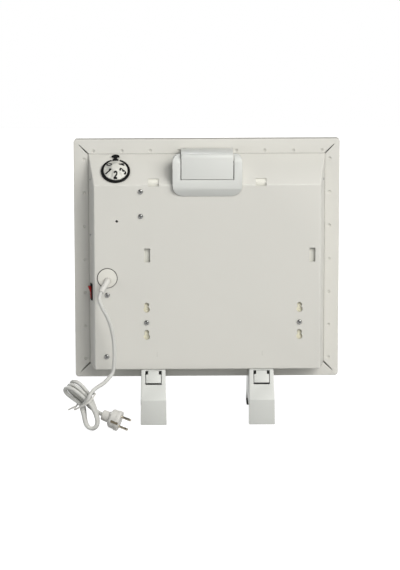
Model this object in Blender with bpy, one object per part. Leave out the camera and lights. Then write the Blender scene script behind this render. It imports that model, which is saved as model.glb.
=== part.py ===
"""A panel convector heater standing on two clip-on feet.

The steel front panel is a shallow tray whose flange is folded in round the back. A deeper
cover stands on that flange and holds the heating element, the thermostat and the switch.
The frame has +Z up, the back of the heater faces -Y and the heated front faces +Y.
The back of the flange lies in the plane Y = 0, and the floor is Z = 0.
"""

import math

import bmesh
import bpy
from mathutils import Matrix, Vector

for old in list(bpy.data.objects):
    bpy.data.objects.remove(old, do_unlink=True)

mm = 0.001

# Clearances
gap = 0.3 * mm
running_gap = 0.8 * mm
overrun = 5 * mm
small_overrun = 1 * mm

# Front panel
panel_width = 490 * mm
panel_height = 450 * mm
panel_lift = 70 * mm
panel_depth = 15 * mm
panel_corner = 5 * mm
sheet = 1.2 * mm
flange_width = 27 * mm
mitre_slit_width = 0.8 * mm
mitre_slit_share = 0.55
outlet_slot_width = 3.6 * mm
outlet_slot_height = 46 * mm
outlet_slot_pitch = 12 * mm
outlet_slot_drop = 34 * mm
outlet_margin = 38 * mm

# Back cover
cover_depth = 55 * mm
cover_taper = 10 * mm
cover_rear_edge = panel_width / 2 - flange_width - cover_taper
slope_height = 48 * mm
lip_width = 20 * mm
inlet_slot_width = 3.6 * mm
inlet_slot_depth = 30 * mm
inlet_slot_pitch = 12 * mm
inlet_margin = 30 * mm
inlet_foot_space = 8 * mm

# Openings in the back cover for a wall bracket
hook_slot_x = 98.5 * mm
hook_slot_width = 19.4 * mm
hook_slot_above_fold = 9.5 * mm
hook_slot_below_fold = 2.5 * mm
hook_slot_reach = 20 * mm
middle_slot_insets = (97.5 * mm, 15 * mm)
middle_slot_xs = (middle_slot_insets[0] - cover_rear_edge, cover_rear_edge - middle_slot_insets[1])
middle_slot_width = 10.8 * mm
middle_slot_height = 26 * mm
middle_slot_z = 313.5 * mm
keyhole_insets = (96 * mm, 38.2 * mm)
keyhole_xs = (keyhole_insets[0] - cover_rear_edge, cover_rear_edge - keyhole_insets[1])
keyhole_zs = (215.5 * mm, 164 * mm)
keyhole_lobe_step = 8.4 * mm
keyhole_large_radius = 5.8 * mm
keyhole_small_radius = 4.6 * mm
pilot_hole_inset = 42.2 * mm
pilot_hole_x = pilot_hole_inset - cover_rear_edge
pilot_hole_z = 377.5 * mm
pilot_hole_radius = 2.4 * mm

# Screws in the back cover
screw_head_radius = 4.6 * mm
screw_head_height = 2.4 * mm
screw_shank_radius = 1.9 * mm
screw_length = 12 * mm
cutout_screw_inset = 85.7 * mm
cutout_screw_x = cutout_screw_inset - cover_rear_edge
cutout_screw_zs = (432.5 * mm, 386.7 * mm)
clamp_screw_inset = 23.7 * mm
clamp_screw_x = clamp_screw_inset - cover_rear_edge
clamp_screw_z = 239 * mm
earth_screw_inset = 22 * mm
earth_screw_x = earth_screw_inset - cover_rear_edge
earth_screw_z = 122.2 * mm
hanger_screw_z = 186.5 * mm
side_screw_radius = 2.6 * mm
side_screw_height = 1.4 * mm
side_screw_shank_radius = 1.4 * mm
side_screw_length = 6 * mm
side_screw_y = -18 * mm
side_screw_zs = (448 * mm, 344 * mm)
screw_dome_share = 0.45

# Thermostat
dial_inset = 40.5 * mm
dial_x = dial_inset - cover_rear_edge
dial_down_slope = 41.5 * mm
dial_ring_outer = 26.6 * mm
dial_ring_wall = 4.2 * mm
dial_ring_height = 3.4 * mm
dial_ring_gap_angle = math.radians(17)
dial_arc_steps = 40
index_neck_width = 6 * mm
index_cap_width = 15 * mm
index_cap_height = 4.6 * mm
index_reach = 10.5 * mm
index_height = 4.2 * mm
index_foot_share = 0.7
knob_radius = 21.8 * mm
knob_lift = 2.6 * mm
knob_rim_height = 2.6 * mm
knob_height = 13.5 * mm
knob_hub_radius = 7 * mm
knob_shoulder_share = 1.15
knob_bore_depth = 10 * mm
shaft_radius = 3 * mm
shaft_below = 7 * mm
thermostat_width = 36 * mm
thermostat_length = 29 * mm
thermostat_thickness = 18 * mm
thermostat_screw_x = 13.5 * mm
thermostat_screw_head_radius = 2.8 * mm
thermostat_screw_head_height = 1.8 * mm
thermostat_screw_length = 6 * mm
thermostat_screw_radius = 1.5 * mm
blade_width = 6.3 * mm
blade_thickness = 0.8 * mm
blade_length = 8 * mm

# Rocker switch in the left side wall
switch_z = 239.7 * mm
switch_y_share = 0.5
switch_bezel_length = 31 * mm
switch_bezel_width = 14.5 * mm
switch_bezel_height = 2 * mm
switch_body_length = 28 * mm
switch_body_width = 12 * mm
switch_body_depth = 18 * mm
switch_well_length = 26 * mm
switch_well_width = 9.6 * mm
switch_well_depth = 8 * mm
rocker_half_length = 11.6 * mm
rocker_end_height = 5.4 * mm
rocker_valley_height = 3.6 * mm
rocker_root = 4.5 * mm
rocker_root_half_length = 8.5 * mm
rocker_width = 8.8 * mm
rocker_side_share = 0.25
rocker_tilt = math.radians(12)

# Carry handle
handle_half_width = 63.5 * mm
handle_arm_width = 14.5 * mm
handle_proud = 8 * mm
handle_pivot_inset = 9 * mm
handle_pivot_y = handle_pivot_inset - cover_depth
handle_pivot_drop = 35 * mm
handle_pivot_z = panel_lift + panel_height - handle_pivot_drop
handle_end_radius = 16 * mm
handle_joint_radius = 33 * mm
handle_reach = 61 * mm
handle_bottom = handle_pivot_z - handle_reach
handle_chamfer_height = 15 * mm
handle_clear = 1 * mm
handle_corner = 20 * mm
handle_top_corner = 13 * mm
handle_side_gap = 1.6 * mm
handle_base_rise = 18 * mm
handle_base_top = handle_pivot_z + handle_base_rise
handle_base_rounding = 7 * mm
handle_base_front = 3 * mm
handle_base_wall = 3 * mm
handle_base_clear_angle = 2
handle_pocket_inset = 33.5 * mm
handle_pocket_half_width = handle_half_width - handle_pocket_inset
handle_pocket_drop = 27 * mm
handle_pocket_floor = handle_pivot_z - handle_pocket_drop
handle_pin_radius = 2.5 * mm
handle_pin_in_arm = 10 * mm
handle_screw_inset = 24.5 * mm
handle_screw_x = handle_half_width - handle_screw_inset
handle_screw_y = -24 * mm
handle_screw_length = 12 * mm
handle_screw_radius = 1.8 * mm
handle_screw_head_radius = 3.6 * mm
handle_screw_head_height = 2.2 * mm
arc_steps = 8

# Feet
foot_x = 100 * mm
foot_width = 48 * mm
foot_top_width = 44.6 * mm
foot_half_length = 89 * mm
foot_end_height = 47 * mm
foot_slope_run = 37 * mm
foot_top_half_length = foot_half_length - foot_slope_run
foot_front_top_length = 32 * mm
foot_wall = 3 * mm
foot_cut_share = 1.5
foot_heel_length = 19 * mm
foot_toe_length = 39 * mm
foot_arch_rear = foot_half_length - foot_heel_length
foot_arch_front = foot_half_length - foot_toe_length
foot_arch_height = 28 * mm
foot_arch_rounding = 10 * mm
foot_pad_height = 13 * mm
foot_hook_x = 19 * mm
foot_hook_thickness = 2.4 * mm
foot_hook_width = 8 * mm
foot_hook_height = 6 * mm
foot_hook_y = 28 * mm
latch_width = 28 * mm
latch_neck_width = 20 * mm
latch_neck_drop = 7 * mm
latch_drop = 19.5 * mm
latch_thickness = 2.4 * mm
latch_side_gap = 1 * mm
latch_end_gap = 3.5 * mm

# Heating element
element_insets = (72 * mm, 18 * mm)
element_left = element_insets[0] - cover_rear_edge
element_right = cover_rear_edge - element_insets[1]
element_z = 150 * mm
element_clearance = 9.3 * mm
element_half_height = 20 * mm
element_core_half_depth = 5 * mm
element_fin_half_depth = 12 * mm
element_fin_count = 7
element_fin_share = 0.42
element_pin_radius = 3 * mm
element_pin_length = 14 * mm
element_bracket_sheet = 1.5 * mm
element_bracket_width = 18 * mm
element_bracket_foot = 14 * mm
element_bracket_height = 64 * mm

# Heat shield, hanger channels and brackets
channel_flange = 9 * mm
channel_half_width = 10 * mm
channel_depth = 3.5 * mm
channel_bottom = 146 * mm
channel_top = 236 * mm
shield_insets = (60 * mm, 8 * mm)
shield_left = shield_insets[0] - cover_rear_edge
shield_right = cover_rear_edge - shield_insets[1]
shield_bottom = 118 * mm
shield_top = 448 * mm
shield_notch_inset = 98.5 * mm
shield_notch_right = shield_notch_inset - cover_rear_edge
shield_notch_bottom = 372 * mm
shield_hem = 8 * mm
cutout_bracket_width = 22 * mm
cutout_bracket_margin = 8 * mm
cutout_radius = 8 * mm
cutout_height = 9 * mm
cutout_z = 410 * mm
cutout_terminal_step = 10 * mm

# Terminal block, earth screw and cable entry
block_inset = 38 * mm
block_x = block_inset - cover_rear_edge
block_z = 196 * mm
block_width = 30 * mm
block_height = 17 * mm
block_depth = 16 * mm
block_ways = 3
clamp_height = 9 * mm
clamp_depth = 21 * mm
clamp_reach = 9 * mm
clamp_margin = 7 * mm
earth_tag_width = 14 * mm
earth_tag_height = 12 * mm
plate_inset = 24 * mm
plate_x = plate_inset - cover_rear_edge
plate_z = 271 * mm
plate_radius = 18.8 * mm
plate_thickness = 2.2 * mm
plate_edge = 0.8 * mm
plate_hole_radius = 15.5 * mm
plate_spigot_depth = 7 * mm
gland_drop = 5.5 * mm
gland_hole_radius = 6.4 * mm

# Mains cord
cord_radius = 3.5 * mm
cord_step = 9 * mm
routes_drawn_x = -184 * mm
routes_drawn_depth = 55 * mm
boot_root_radius = 6 * mm
boot_tip_radius = 4.4 * mm
boot_points = (
    (-184.0, -58.3, 265.5),
    (-185.2, -66.0, 264.6),
    (-188.0, -74.0, 261.8),
    (-191.8, -81.5, 257.4),
    (-195.0, -88.0, 252.0),
)
lead_points = (
    (-195.2, -88.4, 251.7),
    (-197.3, -92.7, 248.1),
    (-198.4, -97.2, 241.6),
    (-196.2, -100.4, 233.0),
    (-191.6, -102.4, 223.6),
    (-185.6, -102.6, 212.0),
    (-179.8, -101.2, 198.0),
    (-175.6, -99.4, 182.0),
    (-172.8, -98.0, 164.0),
    (-171.6, -98.0, 146.0),
    (-171.6, -99.0, 128.0),
    (-174.0, -101.0, 106.4),
    (-179.3, -106.0, 98.2),
    (-187.4, -114.0, 91.0),
    (-195.7, -123.0, 86.6),
    (-205.1, -132.0, 83.0),
    (-211.9, -140.0, 78.7),
    (-216.9, -147.0, 72.3),
    (-219.9, -148.9, 65.4),
    (-226.6, -145.4, 57.2),
    (-231.4, -138.9, 47.4),
    (-229.5, -138.7, 38.4),
)

# Hank of cord behind the left corner
hank_loops = 3
hank_points_per_loop = 24
hank_upper_lengths = (50 * mm, 50 * mm, 47 * mm, 46 * mm)
hank_lower_lengths = (50 * mm, 52.5 * mm, 55 * mm, 55 * mm)
hank_end_width = 19.5 * mm
hank_waist_half_width = 9 * mm
hank_pitch = 8 * mm
hank_blend_share = 0.4
hank_round_share = 0.1
hank_climb_start_share = 0.25
hank_climb_share = 0.5
hank_start_angle = math.radians(25.8)
hank_end_angle = math.radians(8.6)
hank_x = -215.8 * mm
hank_y = -128 * mm
hank_upper_leans = (58, 58, 56, 53)
hank_lower_lean = 6
hank_turn = math.radians(38)
tie_width = 3 * mm
tie_thickness = 1 * mm
tie_corner = 7 * mm
tie_half_across = 18.5 * mm
tie_half_through = 21.4 * mm
tie_place = (8.1, -5.5, 4)
tie_tail_length = 20 * mm
tie_tail_share = 0.9

tail_points = (
    (-224.6, -113.8, 51.7),
    (-219.6, -114.4, 45.2),
    (-214.2, -112.3, 39.6),
    (-208.3, -110.6, 35.6),
    (-202.6, -112.4, 32.4),
    (-197.8, -116.4, 30.4),
    (-193.1, -119.6, 28.7),
)

# Plug
plug_yaw = math.radians(-15)
plug_nose_down = math.radians(18)
plug_x = -161.8 * mm
plug_y = -128 * mm
plug_radius = 18.8 * mm
plug_face_length = 7 * mm
plug_body_length = 20.5 * mm
plug_neck_radius = 10 * mm
plug_tail_length = 14.5 * mm
plug_mouth_radius = 5.2 * mm
plug_mouth_depth = 3 * mm
plug_pin_radius = 2.4 * mm
plug_pin_spacing = 19 * mm
plug_pin_length = 19 * mm
plug_clip_width = 4.6 * mm
plug_clip_thickness = 1.6 * mm
plug_clip_length = 14 * mm
plug_waist_share = 0.95
plug_shell_shares = (0.98, 0.84)
plug_neck_shares = (1.3, 1.04, 0.95)

# Inner wires
wire_radius = 1.3 * mm
wire_bend = 10 * mm
wire_straight_share = 0.45
wire_pin_share = 0.8
wire_rise_share = 1.5
cord_straight_share = 1.2

# Places worked out from the sizes above
panel_top = panel_lift + panel_height
cover_bottom = panel_lift + flange_width
cover_top = panel_top - flange_width
cover_half = panel_width / 2 - flange_width
fold_z = cover_top - slope_height
slope_length = math.hypot(cover_depth, slope_height)
slope_angle = math.atan2(slope_height, cover_depth)
wall_angle = math.atan2(cover_taper, cover_depth)
foot_lean = math.atan2(cover_bottom - foot_end_height, foot_half_length - foot_top_half_length)
cover_inside = -cover_depth + sheet
shield_y = cover_inside + gap + channel_depth + sheet + gap
element_y = shield_y + sheet + element_clearance + element_fin_half_depth
slope_normal = Vector((0, -math.sin(slope_angle), math.cos(slope_angle)))


def material(name, color, roughness, metallic=0.0):
    made = bpy.data.materials.new(name)
    made.use_nodes = True
    shader = made.node_tree.nodes["Principled BSDF"]
    shader.inputs["Base Color"].default_value = (*color, 1.0)
    shader.inputs["Roughness"].default_value = roughness
    shader.inputs["Metallic"].default_value = metallic
    return made


enamel = material("white_enamel", (0.62, 0.61, 0.57), 0.42)
white_plastic = material("white_plastic", (0.70, 0.71, 0.69), 0.45)
black_plastic = material("black_plastic", (0.02, 0.02, 0.02), 0.45)
black_rubber = material("black_rubber", (0.015, 0.015, 0.015), 0.8)
red_plastic = material("red_plastic", (0.6, 0.03, 0.02), 0.3)
cream_steel = material("cream_steel", (0.72, 0.66, 0.52), 0.5)
zinc_steel = material("zinc_steel", (0.55, 0.55, 0.54), 0.35, 1.0)
dark_steel = material("dark_steel", (0.09, 0.09, 0.09), 0.4, 1.0)
aluminium = material("aluminium", (0.6, 0.61, 0.62), 0.4, 1.0)
nickel = material("nickel", (0.62, 0.6, 0.55), 0.25, 1.0)
brass = material("brass", (0.7, 0.52, 0.22), 0.35, 1.0)
white_cord = material("white_cord", (0.62, 0.61, 0.58), 0.5)
ceramic = material("ceramic", (0.85, 0.83, 0.78), 0.5)
wire_colors = {
    "brown": material("brown_wire", (0.16, 0.07, 0.03), 0.5),
    "blue": material("blue_wire", (0.03, 0.1, 0.4), 0.5),
    "green": material("earth_wire", (0.25, 0.45, 0.05), 0.5),
}


def place(shape, name, finish, parent=None, matrix=None, smooth=False):
    """Makes an object of a bmesh, with its normals turned outward."""
    bmesh.ops.recalc_face_normals(shape, faces=shape.faces)
    mesh = bpy.data.meshes.new(name)
    shape.to_mesh(mesh)
    shape.free()
    if smooth:
        mesh.shade_smooth()
        mesh.set_sharp_from_angle(angle=math.radians(35))
    made = bpy.data.objects.new(name, mesh)
    bpy.context.collection.objects.link(made)
    if finish:
        mesh.materials.append(finish)
    if matrix:
        made.matrix_world = matrix
    if parent:
        made.parent = parent
        made.matrix_parent_inverse = parent.matrix_world.inverted()
    return made


def combine(target, shape, name, operation="DIFFERENCE", matrix=None):
    """Cuts a shape out of an object, or joins it on."""
    tool = place(shape, name, None, matrix=matrix)
    tool.hide_render = True
    tool.display_type = "WIRE"
    step = target.modifiers.new(name, "BOOLEAN")
    step.object = tool
    step.operation = operation
    step.solver = "EXACT"


def empty(name, matrix):
    made = bpy.data.objects.new(name, None)
    bpy.context.collection.objects.link(made)
    made.matrix_world = matrix
    bpy.context.view_layer.update()
    return made


def add_box(shape, low, high):
    size = Vector(high) - Vector(low)
    middle = (Vector(high) + Vector(low)) / 2
    bmesh.ops.create_cube(shape, size=1, matrix=Matrix.Translation(middle) @ Matrix.Diagonal((*size, 1)))


def add_prism(shape, outline, axis, start, end):
    """Extrudes an outline along an axis. It is drawn in the other two, in the order X, Y, Z."""
    order = {"X": (2, 0, 1), "Y": (0, 2, 1), "Z": (0, 1, 2)}[axis]

    def at(point, along):
        values = (point[0], point[1], along)
        return tuple(values[i] for i in order)

    base = [shape.verts.new(at(p, start)) for p in outline]
    top = [shape.verts.new(at(p, end)) for p in outline]
    shape.faces.new(base)
    shape.faces.new(list(reversed(top)))
    count = len(outline)
    for i in range(count):
        j = (i + 1) % count
        shape.faces.new((base[i], top[i], top[j], base[j]))


def add_rod(shape, start, end, radius, sides=24, end_radius=None):
    start, end = Vector(start), Vector(end)
    turn = (end - start).to_track_quat("Z", "Y").to_matrix().to_4x4()
    bmesh.ops.create_cone(
        shape,
        cap_ends=True,
        segments=sides,
        radius1=radius,
        radius2=radius if end_radius is None else end_radius,
        depth=(end - start).length,
        matrix=Matrix.Translation((start + end) / 2) @ turn,
    )


def add_turned(shape, profile, steps=32):
    """Turns a profile of (radius, height) about Z, which starts and ends on the axis."""
    verts = [shape.verts.new((r, 0, z)) for r, z in profile]
    edges = [shape.edges.new(pair) for pair in zip(verts, verts[1:])]
    bmesh.ops.spin(
        shape,
        geom=verts + edges,
        cent=(0, 0, 0),
        axis=(0, 0, 1),
        angle=math.tau,
        steps=steps,
        use_merge=True,
    )
    bmesh.ops.remove_doubles(shape, verts=shape.verts, dist=gap / 100)


def arc(centre, radius, start, end, steps=arc_steps):
    """Points of an arc in a plane, from one angle in degrees to another."""
    angles = [math.radians(start + (end - start) * i / steps) for i in range(steps + 1)]
    return [(centre[0] + radius * math.cos(a), centre[1] + radius * math.sin(a)) for a in angles]


def moved(outline, x, z):
    return [(px + x, pz + z) for px, pz in outline]


def slots_across(shape, start, end, pitch, width, depth_range, z_range, skip=()):
    """A row of thin boxes along X, evenly spaced and centred, with stretches left plain."""
    count = int((end - start) / pitch) + 1
    first = (start + end) / 2 - pitch * (count - 1) / 2
    for i in range(count):
        x = first + pitch * i
        if any(abs(x - middle) < half for middle, half in skip):
            continue
        low = (x - width / 2, depth_range[0], z_range[0])
        add_box(shape, low, (x + width / 2, depth_range[1], z_range[1]))


def front_panel():
    """A tray folded from sheet, with its flange turned in round the back."""
    half = panel_width / 2
    outline = []
    for sx, sz, start in ((1, 1, 0), (-1, 1, 90), (-1, -1, 180), (1, -1, 270)):
        centre = (sx * (half - panel_corner), panel_lift + panel_height / 2)
        centre = (centre[0], centre[1] + sz * (panel_height / 2 - panel_corner))
        outline += arc(centre, panel_corner, start, start + 90, 3)
    shape = bmesh.new()
    add_prism(shape, outline, "Y", 0, panel_depth)
    panel = place(shape, "front_panel", enamel)

    hollow = bmesh.new()
    add_box(
        hollow,
        (-half + sheet, sheet, panel_lift + sheet),
        (half - sheet, panel_depth - sheet, panel_top - sheet),
    )
    combine(panel, hollow, "panel_hollow")

    window = bmesh.new()
    low = (-cover_half, -overrun, cover_bottom)
    add_box(window, low, (cover_half, panel_depth - sheet - overrun, cover_top))
    combine(panel, window, "panel_window")

    slits = bmesh.new()
    length = flange_width * mitre_slit_share * math.sqrt(2)
    for sx in (-1, 1):
        for corner_z, sz in ((cover_top, 1), (cover_bottom, -1)):
            start = Vector((sx * cover_half, sheet / 2, corner_z))
            along = Vector((sx, 0, sz)).normalized()
            turn = Matrix.Rotation(math.atan2(-along.z, along.x), 4, "Y")
            middle = Matrix.Translation(start + along * length / 2)
            size = Matrix.Diagonal((length, sheet * 2, mitre_slit_width, 1))
            bmesh.ops.create_cube(slits, size=1, matrix=middle @ turn @ size)
    combine(panel, slits, "panel_mitre_slits")

    outlets = bmesh.new()
    slots_across(
        outlets,
        -half + outlet_margin,
        half - outlet_margin,
        outlet_slot_pitch,
        outlet_slot_width,
        (panel_depth - sheet - overrun, panel_depth + overrun),
        (panel_top - outlet_slot_drop - outlet_slot_height, panel_top - outlet_slot_drop),
    )
    combine(panel, outlets, "panel_outlets")
    return panel


def wall_matrix():
    """A frame on the left side wall: X runs to the back, Y up and Z out of the wall."""
    out = Vector((-math.cos(wall_angle), -math.sin(wall_angle), 0))
    up = Vector((0, 0, 1))
    along = up.cross(out)
    turn = Matrix((along, up, out)).transposed().to_4x4()
    x = -cover_half + gap + cover_taper * switch_y_share
    return Matrix.Translation((x, -cover_depth * switch_y_share, switch_z)) @ turn


def dial_matrix():
    """A frame on the sloping face: Y runs up the slope and Z out of it."""
    share = dial_down_slope / slope_length
    centre = (dial_x, -cover_depth * share, cover_top - gap - slope_height * share)
    return Matrix.Translation(centre) @ Matrix.Rotation(slope_angle, 4, "X")


def keyhole(x, z):
    """Two overlapping holes: the large one below lets a screw head in."""
    rise = keyhole_lobe_step / 2
    squares = keyhole_lobe_step**2 + keyhole_large_radius**2 - keyhole_small_radius**2
    cross = squares / (2 * keyhole_lobe_step)
    cross_x = math.sqrt(keyhole_large_radius**2 - cross**2)
    low = math.degrees(math.atan2(cross, cross_x))
    high = math.degrees(math.atan2(cross - keyhole_lobe_step, cross_x))
    large = arc((0, -rise), keyhole_large_radius, 180 - low, 360 + low, 14)
    small = arc((0, rise), keyhole_small_radius, high, 180 - high, 12)
    return moved(large + small[1:-1], x, z)


def round_hole(x, z, radius, steps=16):
    return arc((x, z), radius, 0, 360 - 360 / steps, steps - 1)


def cover_screw_places():
    places = [(cutout_screw_x, z) for z in cutout_screw_zs]
    places += [(clamp_screw_x, clamp_screw_z), (earth_screw_x, earth_screw_z)]
    places += [(x, hanger_screw_z) for x in keyhole_xs]
    return places


def foot_hook_boxes(shape, foot, grow):
    """The two hooks on top of a foot, or with a clearance the slots that they pass through."""
    for side in (-1, 1):
        x = foot + side * foot_hook_x
        low = (x - foot_hook_thickness / 2 - grow, -foot_hook_y - foot_hook_width - grow)
        high = (x + foot_hook_thickness / 2 + grow, -foot_hook_y + grow)
        top = cover_bottom + foot_hook_height + grow
        add_box(shape, (*low, cover_bottom - foot_wall / 2 - grow), (*high, top))


def back_cover():
    """A pressed steel cover with a sloping top and a lip clinched behind the flange."""
    half = cover_half - gap
    top, bottom = cover_top - gap, cover_bottom + gap
    lip_y = sheet + gap
    rear_half = half - cover_taper
    shape = bmesh.new()
    rings = [
        [(half + lip_width, lip_y, top + lip_width), (half + lip_width, lip_y, bottom - lip_width)],
        [(half, lip_y, top), (half, lip_y, bottom)],
        [(half, 0, top), (half, 0, bottom)],
        [(rear_half, -cover_depth, top - slope_height), (rear_half, -cover_depth, bottom)],
    ]
    loops = []
    for (x, y, high), (_, _, low) in rings:
        corners = ((-x, y, high), (x, y, high), (x, y, low), (-x, y, low))
        loops.append([shape.verts.new(c) for c in corners])
    for outer, inner in zip(loops, loops[1:]):
        for i in range(4):
            j = (i + 1) % 4
            shape.faces.new((outer[i], outer[j], inner[j], inner[i]))
    shape.faces.new(loops[-1])
    cover = place(shape, "back_cover", enamel)
    if cover.data.polygons[-1].normal.y > 0:
        cover.data.flip_normals()
    wall = cover.modifiers.new("wall", "SOLIDIFY")
    wall.thickness = sheet
    wall.offset = -1
    wall.use_even_offset = True

    rear = (-cover_depth - overrun, cover_inside + overrun / 2)
    holes = bmesh.new()
    for side in (-1, 1):
        x = side * hook_slot_x
        low = (x - hook_slot_width / 2, -cover_depth - overrun, fold_z - hook_slot_below_fold)
        high = (x + hook_slot_width / 2, -cover_depth + hook_slot_reach, fold_z + hook_slot_above_fold)
        add_box(holes, low, high)
    for x in middle_slot_xs:
        low = (x - middle_slot_width / 2, rear[0], middle_slot_z - middle_slot_height / 2)
        add_box(holes, low, (x + middle_slot_width / 2, rear[1], middle_slot_z + middle_slot_height / 2))
    for x in keyhole_xs:
        for z in keyhole_zs:
            add_prism(holes, keyhole(x, z), "Y", *rear)
    add_prism(holes, round_hole(pilot_hole_x, pilot_hole_z, pilot_hole_radius), "Y", *rear)
    add_prism(holes, round_hole(plate_x, plate_z, plate_hole_radius + gap, 32), "Y", *rear)
    for x, z in cover_screw_places():
        add_prism(holes, round_hole(x, z, screw_shank_radius + gap), "Y", *rear)
    combine(cover, holes, "cover_rear_holes")

    inlets = bmesh.new()
    middle = -cover_depth / 2
    slots_across(
        inlets,
        -rear_half + inlet_margin,
        rear_half - inlet_margin,
        inlet_slot_pitch,
        inlet_slot_width,
        (middle - inlet_slot_depth / 2, middle + inlet_slot_depth / 2),
        (bottom - overrun / 2, bottom + overrun / 2),
        skip=[(side * foot_x, foot_width / 2 + inlet_foot_space) for side in (-1, 1)],
    )
    for side in (-1, 1):
        foot_hook_boxes(inlets, side * foot_x, gap)
    combine(cover, inlets, "cover_inlets")

    dial_hole = bmesh.new()
    add_rod(dial_hole, (0, 0, -overrun), (0, 0, overrun), shaft_radius + running_gap)
    for side in (-1, 1):
        x = side * thermostat_screw_x
        add_rod(dial_hole, (x, 0, -overrun), (x, 0, overrun), thermostat_screw_radius + gap, 12)
    combine(cover, dial_hole, "cover_dial_hole", matrix=dial_matrix())

    handle_holes = bmesh.new()
    for side in (-1, 1):
        start, end = handle_screw_ends(side)
        add_rod(handle_holes, start, end, handle_screw_radius + gap, 12)
    combine(cover, handle_holes, "cover_handle_holes")

    switch_hole = bmesh.new()
    size = (switch_body_width / 2 + gap, switch_body_length / 2 + gap, overrun)
    add_box(switch_hole, [-s for s in size], size)
    combine(cover, switch_hole, "cover_switch_hole", matrix=wall_matrix())

    side_holes = bmesh.new()
    for side, z in side_screw_places():
        start, end, _ = side_screw_line(side, z)
        add_rod(side_holes, start, end, side_screw_shank_radius + gap, 12)
    combine(cover, side_holes, "cover_side_holes")
    return cover


def side_screw_places():
    return [(-1, side_screw_zs[0]), (-1, side_screw_zs[1]), (1, side_screw_zs[0])]


def side_screw_line(side, z):
    """Ends of a side screw's shank and the outward direction of its wall."""
    out = Vector((side * math.cos(wall_angle), -math.sin(wall_angle), 0))
    x = side * (cover_half - gap + side_screw_y * cover_taper / cover_depth)
    surface = Vector((x, side_screw_y, z))
    return surface - out * side_screw_length, surface + out * gap, out


def handle_screw_ends(side):
    """A line through the sloping face, from inside the cover into the handle base."""
    z = cover_top - gap + handle_screw_y * slope_height / cover_depth
    point = Vector((side * handle_screw_x, handle_screw_y, z))
    below = sheet + gap
    return point - slope_normal * (below + small_overrun), point + slope_normal * handle_screw_length


def screws(name, finish, seats, head_radius, head_height, shank_radius, length):
    """Screws with a domed head on a plain shank. A seat is the middle of a head's underside."""
    dome = screw_dome_share
    profile = (
        (0, head_height),
        (head_radius * dome, head_height),
        (head_radius * (1 + dome) / 2, head_height * (1 - dome / 2)),
        (head_radius, head_height * dome / 2),
        (head_radius, 0),
        (shank_radius, 0),
        (shank_radius, -length),
        (0, -length),
    )
    for number, (seat, outward) in enumerate(seats, 1):
        shape = bmesh.new()
        add_turned(shape, profile, 12)
        turn = Vector(outward).to_track_quat("Z", "Y").to_matrix().to_4x4()
        place(shape, f"{name}_{number}", finish, matrix=Matrix.Translation(seat) @ turn, smooth=True)


def inset(outline, distance):
    """The same outline with every side moved inward, for an outline that runs clockwise."""
    moved_points = []
    count = len(outline)
    for i in range(count):
        before = Vector(outline[i]) - Vector(outline[i - 1])
        after = Vector(outline[(i + 1) % count]) - Vector(outline[i])
        first = Vector((before.y, -before.x)).normalized()
        second = Vector((after.y, -after.x)).normalized()
        step = (first + second) * distance / (1 + first.dot(second))
        moved_points.append(tuple(Vector(outline[i]) + step))
    return moved_points


def slope_z(y):
    return cover_top - gap + y * slope_height / cover_depth


def hanger_channel(name, x):
    """A channel behind the keyholes, which leaves room for the heads of the wall screws."""
    inner, outer = channel_half_width, channel_half_width + sheet
    edge = outer + channel_flange
    y0 = cover_inside + gap
    y1, y2 = y0 + sheet, y0 + channel_depth
    y3 = y2 + sheet
    right = [(inner, y2), (inner, y0), (edge, y0), (edge, y1), (outer, y1), (outer, y3)]
    outline = [(x + px, py) for px, py in right]
    outline += [(x - px, py) for px, py in reversed(right)]
    shape = bmesh.new()
    add_prism(shape, outline, "Z", channel_bottom, channel_top)
    channel = place(shape, name, cream_steel)
    hole = bmesh.new()
    add_prism(hole, round_hole(x, hanger_screw_z, screw_shank_radius + gap, 12), "Y", y1, y3 + overrun)
    combine(channel, hole, name + "_hole")


def heat_shield():
    y0 = shield_y
    y1, y2 = y0 + sheet, y0 + shield_hem
    low, high = shield_bottom, shield_top
    rise = shield_hem * slope_height / cover_depth
    outline = [(y0, low), (y2, low), (y2, low + sheet), (y1, low + sheet)]
    outline += [(y1, high - sheet), (y2, high - sheet + rise), (y2, high + rise), (y0, high)]
    shape = bmesh.new()
    add_prism(shape, outline, "X", shield_left, shield_right)
    shield = place(shape, "heat_shield", cream_steel)
    holes = bmesh.new()
    for x in keyhole_xs:
        hole = round_hole(x, hanger_screw_z, screw_shank_radius + gap, 12)
        add_prism(holes, hole, "Y", y0 - overrun, y1 + overrun)
    combine(shield, holes, "shield_holes")
    notch = bmesh.new()
    low = (shield_left - overrun, y0 - overrun, shield_notch_bottom)
    add_box(notch, low, (shield_notch_right, y2 + overrun, high + rise + overrun))
    combine(shield, notch, "shield_notch")


def heating_element():
    """An aluminium bar with fins on both sides."""
    pitch = 2 * element_half_height / element_fin_count
    fin = pitch * element_fin_share
    side = []
    for i in range(element_fin_count):
        middle = -element_half_height + pitch * (i + 0.5)
        low, high = middle - fin / 2, middle + fin / 2
        side += [
            (element_core_half_depth, low),
            (element_fin_half_depth, low),
            (element_fin_half_depth, high),
            (element_core_half_depth, high),
        ]
    outline = moved(side + [(-y, -z) for y, z in side], element_y, element_z)
    shape = bmesh.new()
    add_prism(shape, outline, "X", element_left, element_right)
    bar = place(shape, "heating_element", aluminium)
    bore = bmesh.new()
    start = (element_left - overrun, element_y, element_z)
    add_rod(bore, start, (element_right + overrun, element_y, element_z), element_pin_radius + gap, 16)
    combine(bar, bore, "element_bore")


def element_rod():
    """The sheathed heating rod, which runs through the bar and is carried by both brackets."""
    shape = bmesh.new()
    start = (element_left - element_pin_length, element_y, element_z)
    add_rod(shape, start, (element_right + element_pin_length, element_y, element_z), element_pin_radius, 16)
    place(shape, "element_rod", zinc_steel, smooth=True)


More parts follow.
